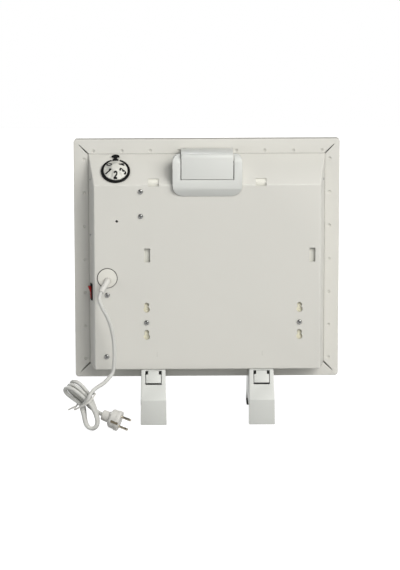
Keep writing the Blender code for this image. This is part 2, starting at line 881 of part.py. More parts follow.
def element_brackets():
    """Two angle brackets that stand on the bottom of the cover and carry the element's pins."""
    base = cover_bottom + gap + sheet + gap
    top = base + element_bracket_height
    for name, x, side in (("left", element_left, -1), ("right", element_right, 1)):
        face = x + side * element_pin_length / 2
        back = face - side * element_bracket_sheet
        toe = face - side * element_bracket_foot
        outline = [(face, base), (toe, base), (toe, base + element_bracket_sheet)]
        outline += [(back, base + element_bracket_sheet), (back, top), (face, top)]
        shape = bmesh.new()
        low, high = element_y - element_bracket_width / 2, element_y + element_bracket_width / 2
        add_prism(shape, outline, "Y", low, high)
        bracket = place(shape, "element_bracket_" + name, zinc_steel)
        hole = bmesh.new()
        start = (back - side * small_overrun, element_y, element_z)
        end = (face + side * small_overrun, element_y, element_z)
        add_rod(hole, start, end, element_pin_radius + gap, 16)
        combine(bracket, hole, "element_bracket_hole_" + name)


def cutout_pieces():
    y0 = cover_inside + gap
    low, high = min(cutout_screw_zs) - cutout_bracket_margin, max(cutout_screw_zs) + cutout_bracket_margin
    half = cutout_bracket_width / 2
    shape = bmesh.new()
    add_box(shape, (cutout_screw_x - half, y0, low), (cutout_screw_x + half, y0 + sheet, high))
    bracket = place(shape, "cutout_bracket", zinc_steel)
    holes = bmesh.new()
    for z in cutout_screw_zs:
        hole = round_hole(cutout_screw_x, z, screw_shank_radius + gap, 12)
        add_prism(holes, hole, "Y", y0 - overrun, y0 + sheet + overrun)
    combine(bracket, holes, "cutout_bracket_holes")

    base = y0 + sheet + gap
    shape = bmesh.new()
    middle = (cutout_screw_x, base, cutout_z)
    add_rod(shape, middle, (cutout_screw_x, base + cutout_height, cutout_z), cutout_radius)
    cutout = place(shape, "overheat_cutout", ceramic, smooth=True)
    blades = bmesh.new()
    for side in (-1, 1):
        x = cutout_screw_x + side * cutout_terminal_step / 2
        top = base + cutout_height + blade_length / 2
        low = (x - blade_thickness / 2, top - blade_length, cutout_z - blade_width / 2)
        add_box(blades, low, (x + blade_thickness / 2, top, cutout_z + blade_width / 2))
    combine(cutout, blades, "cutout_blades", "UNION")
    return base + cutout_height + blade_length / 2


def thermostat_pieces():
    frame = dial_matrix()
    top = -sheet - gap
    shape = bmesh.new()
    half = (thermostat_width / 2, thermostat_length / 2)
    add_box(shape, (-half[0], -half[1], top - thermostat_thickness), (half[0], half[1], top))
    body = place(shape, "thermostat_body", black_plastic, matrix=frame)
    bores = bmesh.new()
    add_rod(bores, (0, 0, -shaft_below - gap), (0, 0, overrun), shaft_radius + gap)
    for side in (-1, 1):
        x = side * thermostat_screw_x
        add_rod(bores, (x, 0, -thermostat_screw_length), (x, 0, overrun), thermostat_screw_radius + gap, 12)
    combine(body, bores, "thermostat_bores", matrix=frame)
    blades = bmesh.new()
    for side in (-1, 1):
        x = side * half[0] / 2
        z = top - thermostat_thickness / 2
        low = (x - blade_width / 2, -half[1] - blade_length, z - blade_thickness / 2)
        add_box(blades, low, (x + blade_width / 2, -half[1] + small_overrun, z + blade_thickness / 2))
    combine(body, blades, "thermostat_blades", "UNION", matrix=frame)

    lines = []
    outward = frame.to_3x3() @ Vector((0, 0, 1))
    for side in (-1, 1):
        lines.append((frame @ Vector((side * thermostat_screw_x, 0, gap)), outward))
    screws(
        "thermostat_screws",
        zinc_steel,
        lines,
        thermostat_screw_head_radius,
        thermostat_screw_head_height,
        thermostat_screw_radius,
        thermostat_screw_length,
    )


def dial_pieces():
    """The black ring round the dial, its index, and the dial on its shaft."""
    frame = dial_matrix()
    inner = dial_ring_outer - dial_ring_wall
    opening = math.degrees(dial_ring_gap_angle)
    outline = arc((0, 0), dial_ring_outer, 90 + opening, 450 - opening, dial_arc_steps)
    outline += arc((0, 0), inner, 450 - opening, 90 + opening, dial_arc_steps)
    shape = bmesh.new()
    add_prism(shape, outline, "Z", gap, gap + dial_ring_height)
    place(shape, "dial_ring", black_plastic, matrix=frame, smooth=True)

    neck, cap = index_neck_width / 2, index_cap_width / 2
    foot_angle = math.degrees(dial_ring_gap_angle) * index_foot_share
    neck_angle = math.degrees(math.asin(neck / dial_ring_outer))
    cap_base = dial_ring_outer + index_reach - index_cap_height
    outline = arc((0, 0), inner, 90 + foot_angle, 90 - foot_angle, 4)
    outline += arc((0, 0), dial_ring_outer, 90 - foot_angle, 90 - neck_angle, 2)
    outline += [(neck, cap_base)]
    crown = arc((0, 0), 1, 0, 180, 10)
    outline += [(x * cap, cap_base + y * index_cap_height) for x, y in crown]
    outline += [(-neck, cap_base)]
    outline += arc((0, 0), dial_ring_outer, 90 + neck_angle, 90 + foot_angle, 2)
    shape = bmesh.new()
    add_prism(shape, outline, "Z", gap, gap + index_height)
    place(shape, "dial_index", black_plastic, matrix=frame)

    pivot = empty("dial_pivot", frame)
    bore = knob_lift + knob_bore_depth
    top = knob_lift + knob_height
    profile = (
        (0, bore),
        (shaft_radius + gap, bore),
        (shaft_radius + gap, knob_lift),
        (knob_radius, knob_lift),
        (knob_radius, knob_lift + knob_rim_height),
        (knob_hub_radius * knob_shoulder_share, top - knob_rim_height / 2),
        (knob_hub_radius, top),
        (0, top),
    )
    shape = bmesh.new()
    add_turned(shape, profile, 48)
    place(shape, "thermostat_dial", white_plastic, pivot, frame, smooth=True)

    shape = bmesh.new()
    add_rod(shape, (0, 0, -shaft_below), (0, 0, bore - gap), shaft_radius)
    place(shape, "thermostat_shaft", zinc_steel, pivot, frame, smooth=True)


def switch_pieces():
    frame = wall_matrix()
    bezel = (switch_bezel_width / 2, switch_bezel_length / 2)
    body = (switch_body_width / 2, switch_body_length / 2)
    well = (switch_well_width / 2, switch_well_length / 2)
    face = gap + switch_bezel_height
    shape = bmesh.new()
    add_box(shape, (-bezel[0], -bezel[1], gap), (*bezel, face))
    housing = place(shape, "switch_housing", black_plastic, matrix=frame)
    shape = bmesh.new()
    add_box(shape, (-body[0], -body[1], -switch_body_depth), (*body, gap + switch_bezel_height / 2))
    combine(housing, shape, "switch_body_block", "UNION", matrix=frame)
    shape = bmesh.new()
    add_box(shape, (-well[0], -well[1], -switch_well_depth), (*well, face + overrun))
    combine(housing, shape, "switch_well", matrix=frame)

    half = [
        (rocker_half_length, rocker_end_height),
        (rocker_half_length, rocker_end_height * rocker_side_share),
        (rocker_root_half_length, -rocker_root),
    ]
    outline = [(0, rocker_valley_height)] + half + [(-y, z) for y, z in reversed(half)]
    cosine, sine = math.cos(rocker_tilt), math.sin(rocker_tilt)
    outline = [(y * cosine - z * sine, y * sine + z * cosine) for y, z in outline]
    pivot = empty("rocker_pivot", frame)
    shape = bmesh.new()
    add_prism(shape, outline, "X", -rocker_width / 2, rocker_width / 2)
    place(shape, "switch_rocker", red_plastic, pivot, frame)


def handle_pieces():
    """A fixed base on the slope, and a bail that folds down round it onto the cover."""
    rear = -cover_depth - handle_proud
    pivot_point = (handle_pivot_y, handle_pivot_z)
    lift = handle_clear / math.cos(slope_angle)
    inner = handle_half_width - handle_arm_width
    front = handle_pivot_y + handle_end_radius
    cover_side = -cover_depth - handle_clear
    outline = [(cover_side, handle_bottom), (rear, handle_bottom + handle_chamfer_height)]
    outline += arc(pivot_point, handle_end_radius, 180, 0)
    outline += [(front, slope_z(front) + lift), (cover_side, slope_z(cover_side) + lift)]
    pivot = empty("handle_pivot", Matrix.Translation((0, *pivot_point)))
    shape = bmesh.new()
    add_prism(shape, outline, "X", -handle_half_width, handle_half_width)
    bail = place(shape, "handle_bail", white_plastic, pivot)

    swing = handle_joint_radius + running_gap
    high = handle_pivot_z + swing
    window = arc(pivot_point, swing, 180, 360, 32)
    window += [(handle_pivot_y + swing, high), (handle_pivot_y - swing, high)]
    shape = bmesh.new()
    add_prism(shape, window, "X", -inner, inner)
    combine(bail, shape, "bail_window")

    low = handle_bottom + handle_corner
    corners = arc((handle_corner - handle_half_width, low), handle_corner, 180, 270, 5)
    corners += arc((handle_half_width - handle_corner, low), handle_corner, 270, 360, 5)
    top = handle_pivot_z + handle_end_radius - handle_top_corner
    corners += arc((handle_half_width - handle_top_corner, top), handle_top_corner, 0, 90, 4)
    corners += arc((handle_top_corner - handle_half_width, top), handle_top_corner, 90, 180, 4)
    shape = bmesh.new()
    add_prism(shape, corners, "Y", rear - overrun, front + overrun)
    combine(bail, shape, "bail_outline", "INTERSECT")

    base_half = inner - handle_side_gap
    top = handle_base_top
    rest = gap / math.cos(slope_angle)
    seat = handle_pivot_y
    start = math.degrees(math.asin((rear - handle_pivot_y) / handle_joint_radius)) + 270
    outline = [(-handle_base_front, slope_z(-handle_base_front) + rest), (seat, slope_z(seat) + rest)]
    end = 270 - math.degrees(2 * gap / handle_joint_radius) - handle_base_clear_angle
    outline += arc(pivot_point, handle_joint_radius, end, start, 6)
    rounding = handle_base_rounding
    outline += arc((rear + rounding, top - rounding), rounding, 180, 90, 4)
    outline += [(-handle_base_front, top)]
    shape = bmesh.new()
    add_prism(shape, outline, "X", -base_half, base_half)
    base = place(shape, "handle_base", white_plastic)

    pocket = handle_pocket_half_width
    wall = handle_base_wall
    outline = [
        (-handle_base_front - wall, handle_bottom),
        (-handle_base_front - wall, top - wall),
        (rear + handle_base_rounding, top - wall),
        (rear + wall, top - handle_base_rounding),
        (rear + wall, handle_pocket_floor),
        (seat, handle_pocket_floor),
        (seat, handle_bottom),
    ]
    shape = bmesh.new()
    add_prism(shape, outline, "X", -pocket, pocket)
    combine(base, shape, "handle_pocket")

    end_x = inner + handle_pin_in_arm
    shape = bmesh.new()
    add_rod(shape, (-end_x, *pivot_point), (end_x, *pivot_point), handle_pin_radius, 16)
    place(shape, "handle_pin", zinc_steel, smooth=True)
    bore = bmesh.new()
    wide = handle_pin_radius + gap
    add_rod(bore, (-end_x, *pivot_point), (end_x, *pivot_point), wide, 16)
    combine(base, bore, "base_pin_bore")
    bore = bmesh.new()
    add_rod(bore, (-end_x - gap, *pivot_point), (end_x + gap, *pivot_point), wide, 16)
    combine(bail, bore, "bail_pin_bore")

    screw_bores = bmesh.new()
    lines = []
    for side in (-1, 1):
        _, screw_end = handle_screw_ends(side)
        surface = Vector((side * handle_screw_x, handle_screw_y, slope_z(handle_screw_y)))
        add_rod(screw_bores, surface - slope_normal * gap, screw_end, handle_screw_radius + gap, 12)
        lines.append((surface - slope_normal * (sheet + gap), -slope_normal))
    combine(base, screw_bores, "base_screw_bores")
    screws(
        "handle_screws",
        zinc_steel,
        lines,
        handle_screw_head_radius,
        handle_screw_head_height,
        handle_screw_radius,
        handle_screw_length,
    )


def foot_outline():
    """A foot from the side, clockwise from the floor at the back."""
    ends = foot_half_length
    front_top = panel_lift - gap
    rounding = foot_arch_rounding
    arch_top = foot_arch_height - rounding
    outline = [(-ends, 0), (-ends, foot_end_height), (-foot_top_half_length, cover_bottom)]
    outline += [(-gap, cover_bottom), (-gap, front_top), (foot_front_top_length, front_top)]
    outline += [(ends, foot_end_height), (ends, foot_pad_height + gap)]
    outline += [(foot_arch_front, foot_pad_height + gap)]
    outline += arc((foot_arch_front - rounding, arch_top), rounding, 0, 90, 5)
    outline += arc((-foot_arch_rear + rounding, arch_top), rounding, 90, 180, 5)
    outline += [(-foot_arch_rear, 0)]
    return outline


def latch_matrix(x):
    """A frame on the sloping back of a foot: Y runs up the slope and Z out of it."""
    top = (x, -foot_top_half_length, cover_bottom)
    return Matrix.Translation(top) @ Matrix.Rotation(foot_lean, 4, "X")


def narrow_upward(shape, x):
    """Draws a foot's sides in, from its full width on the floor to its width at the top."""
    for vert in shape.verts:
        share = vert.co.z / cover_bottom * (1 - foot_top_width / foot_width)
        vert.co.x = x + (vert.co.x - x) * (1 - share)


def foot_pieces(name, x):
    half = foot_width / 2
    outline = foot_outline()
    shape = bmesh.new()
    add_prism(shape, outline, "X", x - half, x + half)
    narrow_upward(shape, x)
    foot = place(shape, "foot_" + name, white_plastic)

    hollow = []
    for (_, old_z), (y, z) in zip(outline, inset(outline, foot_wall)):
        at_bottom = old_z in (0, foot_pad_height + gap) and z - old_z > gap
        hollow.append((y, old_z - overrun if at_bottom else z))
    shape = bmesh.new()
    add_prism(shape, hollow, "X", x - half + foot_wall, x + half - foot_wall)
    narrow_upward(shape, x)
    combine(foot, shape, "foot_hollow_" + name)

    frame = latch_matrix(x)
    wide = latch_width / 2 + latch_side_gap
    slope_drop = latch_drop / math.sin(foot_lean)
    shape = bmesh.new()
    low = (-wide, -foot_wall - slope_drop - latch_end_gap, -foot_wall * foot_cut_share)
    add_box(shape, low, (wide, -foot_wall, overrun))
    combine(foot, shape, "foot_latch_window_" + name, matrix=frame)

    shape = bmesh.new()
    foot_hook_boxes(shape, x, 0)
    combine(foot, shape, "foot_hooks_" + name, "UNION")

    top = -foot_wall - gap
    neck, tongue = latch_neck_width / 2, latch_width / 2
    bottom, shoulder = top - slope_drop, top - latch_neck_drop
    right = [(neck, top), (neck, shoulder), (tongue, shoulder), (tongue, bottom)]
    outline = right + [(-px, py) for px, py in reversed(right)]
    pivot_place = frame @ Matrix.Translation((0, top, -latch_thickness / 2))
    pivot = empty("latch_pivot_" + name, pivot_place)
    shape = bmesh.new()
    add_prism(shape, outline, "Z", -latch_thickness, 0)
    place(shape, "foot_latch_" + name, white_plastic, pivot, frame)

    shape = bmesh.new()
    add_box(shape, (x - half, foot_arch_front, 0), (x + half, foot_half_length, foot_pad_height))
    narrow_upward(shape, x)
    place(shape, "foot_pad_" + name, black_rubber)


def tube(name, points, radius, finish, resolution=2, radii=None):
    """A round tube along a line of points, with flat closed ends."""
    line = bpy.data.curves.new(name, "CURVE")
    line.dimensions = "3D"
    line.bevel_depth = radius
    line.bevel_resolution = resolution
    line.use_fill_caps = True
    spline = line.splines.new("POLY")
    spline.points.add(len(points) - 1)
    for i, point in enumerate(points):
        spline.points[i].co = (*point, 1)
        spline.points[i].radius = radii[i] if radii else 1
    line.materials.append(finish)
    made = bpy.data.objects.new(name, line)
    bpy.context.collection.objects.link(made)
    return made


def smooth_line(points, step):
    """Points at an even spacing along a smooth curve through the given ones."""
    points = [Vector(p) for p in points]
    first, last = points[0] * 2 - points[1], points[-1] * 2 - points[-2]
    framed = [first] + points + [last]
    fine = []
    parts = 24
    for a, b, c, d in zip(framed, framed[1:], framed[2:], framed[3:]):
        for i in range(parts):
            t = i / parts
            curved = (a * 2 - b * 5 + c * 4 - d) * t**2 + (b * 3 - a - c * 3 + d) * t**3
            fine.append((b * 2 + (c - a) * t + curved) / 2)
    fine.append(points[-1])
    lengths = [0.0]
    for a, b in zip(fine, fine[1:]):
        lengths.append(lengths[-1] + (b - a).length)
    count = max(2, round(lengths[-1] / step))
    line, at = [], 0
    for i in range(count + 1):
        wanted = lengths[-1] * i / count
        while at < len(fine) - 2 and lengths[at + 1] < wanted:
            at += 1
        share = (wanted - lengths[at]) / max(lengths[at + 1] - lengths[at], gap / 100)
        line.append(fine[at].lerp(fine[at + 1], min(share, 1)))
    return line, lengths[-1]


def route_shift():
    """How far the cord's routes move when the cable plate isn't where they were drawn for."""
    return Vector((plate_x - routes_drawn_x, routes_drawn_depth - cover_depth, 0))


def millimetres(points):
    return [Vector(p) * mm + route_shift() for p in points]


def at_level(values, level):
    """The value for a layer of the hank, blended between two layers while it climbs."""
    low = min(int(level), len(values) - 2)
    share = min(level - low, 1)
    return values[low] * (1 - share) + values[low + 1] * share


def hank_axes(lean, turn):
    """The directions along the hank, across its loops and through its layers."""
    along = Vector((-math.sin(lean), 0, math.cos(lean)))
    aside = Vector((-math.cos(lean), 0, -math.sin(lean)))
    behind = Vector((0, 1, 0))
    across = aside * math.cos(turn) + behind * math.sin(turn)
    through = behind * math.cos(turn) - aside * math.sin(turn)
    return along, across, through


def hank_line():
    """Long loops laid one behind another, each bent and drawn in at the waist."""
    lower_lean = math.radians(hank_lower_lean)
    start = math.pi / 2 + hank_start_angle
    end = math.pi / 2 + math.tau * hank_loops - hank_end_angle
    count = round((end - start) / math.tau * hank_points_per_loop)
    blend = hank_blend_share
    points = []
    for i in range(count + 1):
        turn = start + (end - start) * i / count
        rounds = (turn - math.pi / 2) / math.tau
        part = rounds - math.floor(rounds)
        climb = min(max((part - hank_climb_start_share) / hank_climb_share, 0), 1)
        level = math.floor(rounds) + climb**2 * (3 - 2 * climb)
        reach = math.hypot(math.cos(turn), blend)
        up = (reach + math.cos(turn)) / 2
        down = reach - up
        share = up / reach
        upper_lean = math.radians(at_level(hank_upper_leans, level))
        upper = hank_axes(upper_lean, 0)[0] * at_level(hank_upper_lengths, level)
        lower = -hank_axes(lower_lean, 0)[0] * at_level(hank_lower_lengths, level)
        lean = upper_lean * share + lower_lean * (1 - share)
        _, across, through = hank_axes(lean, hank_turn * share)
        spread = (reach - blend) / (math.hypot(1, blend) - blend)
        width = hank_waist_half_width + (hank_end_width - hank_waist_half_width) * spread
        run = upper * up * (1 + hank_round_share * (1 - up**2))
        run += lower * down * (1 + hank_round_share * (1 - down**2))
        side = (level - hank_loops / 2) * hank_pitch
        points.append(run + across * width * math.sin(turn) + through * side)
    lowest = min(p.z for p in points)
    centre = Vector((hank_x, hank_y, cord_radius + gap - lowest)) + route_shift()
    return [centre + p for p in points], centre


def least_self_gap(points):
    """The least gap between stretches of the tube that lie on different turns."""
    least = math.inf
    apart = hank_points_per_loop // 3
    for i, a in enumerate(points[:-1]):
        for j in range(i + apart, len(points) - 1):
            for share_a in (0, 0.5):
                for share_b in (0, 0.5):
                    p = a.lerp(points[i + 1], share_a)
                    q = points[j].lerp(points[j + 1], share_b)
                    least = min(least, (p - q).length)
    return least - 2 * cord_radius


def cable_entry():
    """The round plate over the cable hole and the tapered boot that comes out of it."""
    frame = Matrix.Translation((plate_x, -cover_depth, plate_z)) @ Matrix.Rotation(math.pi / 2, 4, "X")
    profile = (
        (0, plate_thickness),
        (plate_radius - plate_edge, plate_thickness),
        (plate_radius, plate_thickness - plate_edge),
        (plate_radius, gap),
        (plate_hole_radius, gap),
        (plate_hole_radius, -plate_spigot_depth),
        (plate_hole_radius - sheet, -plate_spigot_depth),
        (plate_hole_radius - sheet, gap),
        (0, gap),
    )
    shape = bmesh.new()
    add_turned(shape, profile, 40)
    plate = place(shape, "cable_plate", white_plastic, matrix=frame, smooth=True)
    shape = bmesh.new()
    add_rod(shape, (0, -gland_drop, -overrun), (0, -gland_drop, overrun), gland_hole_radius)
    combine(plate, shape, "cable_plate_hole", matrix=frame)

    route = millimetres(boot_points)
    inner_end = Vector((plate_x, -cover_depth + plate_spigot_depth + sheet, route[0].z))
    line, _ = smooth_line(route, cord_radius)
    taper = (boot_tip_radius - boot_root_radius) / (len(line) - 1)
    radii = [boot_root_radius] + [boot_root_radius + taper * i for i in range(len(line))]
    tube("strain_relief", [inner_end] + line, 1, white_plastic, radii=radii)
    return inner_end


def clamp_pieces(inner_end):
    """The cord behind the cover, its clamp and the terminal block that it ends above."""
    y0 = cover_inside + gap
    cord_x = clamp_screw_x + clamp_reach
    cord_y = y0 + clamp_depth / 2
    jaw = cord_radius + gap
    left, right = clamp_screw_x - clamp_margin, cord_x + jaw
    web = cord_x - jaw
    outline = [(left, y0), (right, y0), (right, cord_y - jaw), (web, cord_y - jaw)]
    outline += [(web, cord_y + jaw), (right, cord_y + jaw)]
    outline += [(right, y0 + clamp_depth), (left, y0 + clamp_depth)]
    shape = bmesh.new()
    add_prism(shape, outline, "Z", clamp_screw_z - clamp_height / 2, clamp_screw_z + clamp_height / 2)
    clamp = place(shape, "cable_clamp", black_plastic)
    shape = bmesh.new()
    hole = round_hole(clamp_screw_x, clamp_screw_z, screw_shank_radius + gap, 12)
    add_prism(shape, hole, "Y", y0 - overrun, -cover_depth + screw_length + gap)
    combine(clamp, shape, "cable_clamp_hole")

    top = clamp_screw_z + clamp_height / 2
    end = Vector((cord_x, cord_y, block_z + block_height / 2 + gap))
    start = inner_end + Vector((0, gap, 0))
    straight = Vector((0, cord_radius * cord_straight_share, 0))
    route = [start, start + straight, start + 2 * straight]
    route += [Vector((cord_x, cord_y + clamp_reach / 2, top + clamp_reach))]
    route += [Vector((cord_x, cord_y, top)), Vector((cord_x, cord_y, clamp_screw_z)), end]
    tube("cord_inside", smooth_line(route, cord_radius)[0], cord_radius, white_cord)

    block_top = block_z + block_height / 2
    low = (block_x - block_width / 2, y0, block_z - block_height / 2)
    high = (block_x + block_width / 2, y0 + block_depth, block_top)
    shape = bmesh.new()
    add_box(shape, low, high)
    place(shape, "terminal_block", ceramic)

    pitch = block_width / block_ways
    ways = [block_x + pitch * (i - (block_ways - 1) / 2) for i in range(block_ways)]
    way_y = y0 + block_depth / 2
    return [Vector((x, way_y, block_z - block_height / 2 - gap)) for x in ways]


def earth_tag():
    y0 = cover_inside + gap
    shape = bmesh.new()
    half = (earth_tag_width / 2, earth_tag_height / 2)
    low = (earth_screw_x - half[0], y0, earth_screw_z - half[1])
    add_box(shape, low, (earth_screw_x + half[0], y0 + sheet, earth_screw_z + half[1]))
    tag = place(shape, "earth_tag", brass)
    shape = bmesh.new()
    hole = round_hole(earth_screw_x, earth_screw_z, screw_shank_radius + gap, 12)
    add_prism(shape, hole, "Y", y0 - overrun, y0 + sheet + overrun)
    combine(tag, shape, "earth_tag_hole")


def inner_wires(ways, cutout_top):
    """The wires of the circuit, each seated end to end on its terminals."""
    dial, wall = dial_matrix(), wall_matrix()
    depth = -sheet - gap - thermostat_thickness / 2
    blade_end = -thermostat_length / 2 - blade_length - gap
    blades = [dial @ Vector((side * thermostat_width / 4, blade_end, depth)) for side in (-1, 1)]
    pins = []
    for y in (-1, 1):
        pins.append(wall @ Vector((0, y * switch_body_length / 4, -switch_body_depth - gap)))
    inward = wall.to_3x3() @ Vector((0, 0, -1))
    down = dial.to_3x3() @ Vector((0, -1, 0))
    back = Vector((0, wire_bend, 0))
    below = Vector((0, 0, -wire_bend))

    def wire(name, color, route):
        ends = route[0].lerp(route[1], wire_straight_share), route[-1].lerp(route[-2], wire_straight_share)
        route = [route[0], ends[0], *route[1:-1], ends[1], route[-1]]
        tube(name, smooth_line(route, wire_radius * 3)[0], wire_radius, wire_colors[color])

    low = ways[0] + below
    aside = pins[0] + inward * wire_bend
    turn = Vector((low.x - wire_bend / 2, aside.y - wire_bend / 2, low.z + wire_bend / 4))
    wire("wire_block_to_switch", "brown", [ways[0], low, turn, aside + below * 2, aside, pins[0]])

    aside = pins[1] + inward * wire_bend
    near = blades[0] + down * wire_bend
    route = [pins[1], aside, aside - below * 2, aside.lerp(near, 0.5), near, blades[0]]
    wire("wire_switch_to_thermostat", "brown", route)

    left, right = [cutout_screw_x + side * cutout_terminal_step / 2 for side in (-1, 1)]
    seat = cutout_top + gap
    near = blades[1] + down * wire_bend
    goal = Vector((left, seat, cutout_z))
    route = [blades[1], near, goal + back + Vector((-wire_bend, 0, wire_bend / 2)), goal + back, goal]
    wire("wire_thermostat_to_cutout", "brown", route)

    pin = element_pin_radius + gap
    goal = Vector((element_left - element_pin_length * wire_pin_share, element_y, element_z + pin))
    start = Vector((right, seat, cutout_z))
    side_run = goal.x - wire_bend / 2
    notch = shield_notch_bottom
    route = [start, start + back, Vector((right - wire_bend, seat + wire_bend, notch + wire_bend / 2))]
    route += [Vector((side_run, element_y, notch - wire_bend)), Vector((side_run, element_y, keyhole_zs[0]))]
    route += [goal - below * 2, goal]
    wire("wire_cutout_to_element", "brown", route)

    goal = Vector((element_right + element_pin_length * wire_pin_share, element_y, element_z - pin))
    run_y, run_z = -wire_bend, shield_bottom - wire_bend / 2
    route = [ways[2], ways[2] + below, Vector((ways[2].x + wire_bend, run_y * 2, element_z))]
    route += [Vector((element_left, run_y, run_z)), Vector((0, run_y, run_z))]
    route += [Vector((goal.x - 2 * wire_bend, run_y, run_z)), goal + below * wire_rise_share, goal]
    wire("wire_block_to_element", "blue", route)

    tag_y = cover_inside + gap + sheet + gap + wire_radius
    end = Vector((earth_screw_x + earth_tag_width / 3, tag_y, earth_screw_z))
    route = [ways[1], ways[1] + below, end - below * 2, end - below / 2, end]
    wire("wire_earth", "green", route)


def cord_and_hank():
    lead, lead_length = smooth_line(millimetres(lead_points), cord_step)
    tube("mains_cord", lead, cord_radius, white_cord)
    loops, centre = hank_line()
    loops = [loops[0] + (loops[0] - loops[1]).normalized() * 2 * cord_radius] + loops
    loops.append(loops[-1] + (loops[-1] - loops[-2]).normalized() * 2 * cord_radius)
    tube("cord_hank", loops, cord_radius, white_cord, 1)
    hank_length = sum((b - a).length for a, b in zip(loops, loops[1:]))
    tail, tail_length = smooth_line(millimetres(tail_points), cord_step)
    tube("cord_tail", tail, cord_radius, white_cord)
    print("cord length in m", round(lead_length + hank_length + tail_length, 3))
    print("least gap of the hank to itself in mm", round(least_self_gap(loops) / mm, 2))
    return centre


def cord_tie(centre):
    """A thin band round the waist of the hank and the cord in front of it, with a free end."""
    lean = math.radians(hank_upper_leans[0] + hank_lower_lean) / 2
    along, across, through = hank_axes(lean, hank_turn / 2)
    frame = Matrix((across, through, along)).transposed().to_4x4()
    if frame.determinant() < 0:
        frame = Matrix((across, -through, along)).transposed().to_4x4()
    middle = centre + (across * tie_place[0] + through * tie_place[1] + along * tie_place[2]) * mm
    frame = Matrix.Translation(middle) @ frame

    def band_outline(grow):
        corner = tie_corner + grow
        x, y = tie_half_across + grow - corner, tie_half_through + grow - corner
        points = []
        for sx, sy, start in ((1, 1, 0), (-1, 1, 90), (-1, -1, 180), (1, -1, 270)):
            points += arc((sx * x, sy * y), corner, start, start + 90, 4)
        return points

    shape = bmesh.new()
    add_prism(shape, band_outline(tie_thickness), "Z", -tie_width / 2, tie_width / 2)
    tie = place(shape, "cord_tie", white_plastic, matrix=frame)
    shape = bmesh.new()
    add_prism(shape, band_outline(0), "Z", -tie_width, tie_width)
    combine(tie, shape, "tie_opening", matrix=frame)
    shape = bmesh.new()
    side = tie_width / 2 * tie_tail_share
    low = (tie_half_across + tie_thickness / 2, -tie_thickness / 2, -side)
    add_box(shape, low, (tie_half_across + tie_tail_length, tie_thickness / 2, side))
    combine(tie, shape, "tie_tail", "UNION", matrix=frame)


def plug_pieces():
    """A round plug with two pins and earth clips on its rim, lying with its face down a little."""
    turn = Matrix.Rotation(plug_yaw, 4, "Z") @ Matrix.Rotation(math.pi / 2 + plug_nose_down, 4, "Y")
    lift = plug_radius * math.cos(plug_nose_down) + gap
    frame = Matrix.Translation(Vector((plug_x, plug_y, lift)) + route_shift()) @ turn
    body_end = -plug_body_length
    tail_end = body_end - plug_tail_length
    waist = plug_radius * plug_waist_share
    shell_share, shell_end_share = plug_shell_shares
    root_share, neck_share, tip_share = plug_neck_shares
    profile = (
        (0, 0),
        (plug_radius, 0),
        (plug_radius, -plug_face_length),
        (waist, -plug_face_length),
        (waist * shell_share, body_end * shell_end_share),
        (plug_neck_radius * root_share, body_end),
        (plug_neck_radius * neck_share, body_end * neck_share),
        (plug_neck_radius * tip_share, tail_end),
        (plug_mouth_radius, tail_end),
        (plug_mouth_radius, tail_end + plug_mouth_depth),
        (0, tail_end + plug_mouth_depth),
    )
    shape = bmesh.new()
    add_turned(shape, profile, 32)
    body = place(shape, "plug_body", white_plastic, matrix=frame, smooth=True)
    cuts = bmesh.new()
    root = -plug_pin_length / 3
    for name, side in (("left", -1), ("right", 1)):
        x = side * plug_pin_spacing / 2
        add_rod(cuts, (x, 0, root - gap), (x, 0, overrun), plug_pin_radius + gap, 16)
        shape = bmesh.new()
        add_rod(shape, (x, 0, root), (x, 0, plug_pin_length), plug_pin_radius, 16)
        place(shape, "plug_pin_" + name, nickel, matrix=frame, smooth=True)
    combine(body, cuts, "plug_sockets", matrix=frame)

    half = plug_clip_width / 2
    outer = plug_radius - plug_clip_thickness
    inner = outer - plug_clip_thickness
    bridge = -plug_clip_length + plug_clip_thickness
    strap = [(-outer, 0), (-outer, -plug_clip_length), (outer, -plug_clip_length), (outer, 0)]
    strap += [(inner, 0), (inner, bridge), (-inner, bridge), (-inner, 0)]
    shape = bmesh.new()
    add_prism(shape, strap, "X", -half, half)
    place(shape, "plug_earth_clip", nickel, matrix=frame)
    rim, side, low = plug_radius + overrun, inner - gap, -plug_clip_length - gap
    groove = [(-rim, overrun), (-rim, low), (rim, low), (rim, overrun)]
    groove += [(side, overrun), (side, bridge + gap), (-side, bridge + gap), (-side, overrun)]
    cuts = bmesh.new()
    add_prism(cuts, groove, "X", -half - gap, half + gap)
    combine(body, cuts, "plug_groove", matrix=frame)


front_panel()
back_cover()
seats = [((x, -cover_depth - gap, z), (0, -1, 0)) for x, z in cover_screw_places()]
screws(
    "cover_screws",
    dark_steel,
    seats,
    screw_head_radius,
    screw_head_height,
    screw_shank_radius,
    screw_length,
)
seats = []
for side, z in side_screw_places():
    _, end, out = side_screw_line(side, z)
    seats.append((end, out))
screws(
    "side_screws",
    zinc_steel,
    seats,
    side_screw_radius,
    side_screw_height,
    side_screw_shank_radius,
    side_screw_length,
)
for side, x in zip(("left", "right"), keyhole_xs):
    hanger_channel("hanger_channel_" + side, x)
heat_shield()
heating_element()
element_rod()
element_brackets()
cutout_top = cutout_pieces()
thermostat_pieces()
dial_pieces()
switch_pieces()
handle_pieces()
foot_pieces("left", -foot_x)
foot_pieces("right", foot_x)
earth_tag()
ways = clamp_pieces(cable_entry())
inner_wires(ways, cutout_top)
cord_tie(cord_and_hank())
plug_pieces()
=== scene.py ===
import math

import bmesh
import bpy
from mathutils import Matrix, Vector

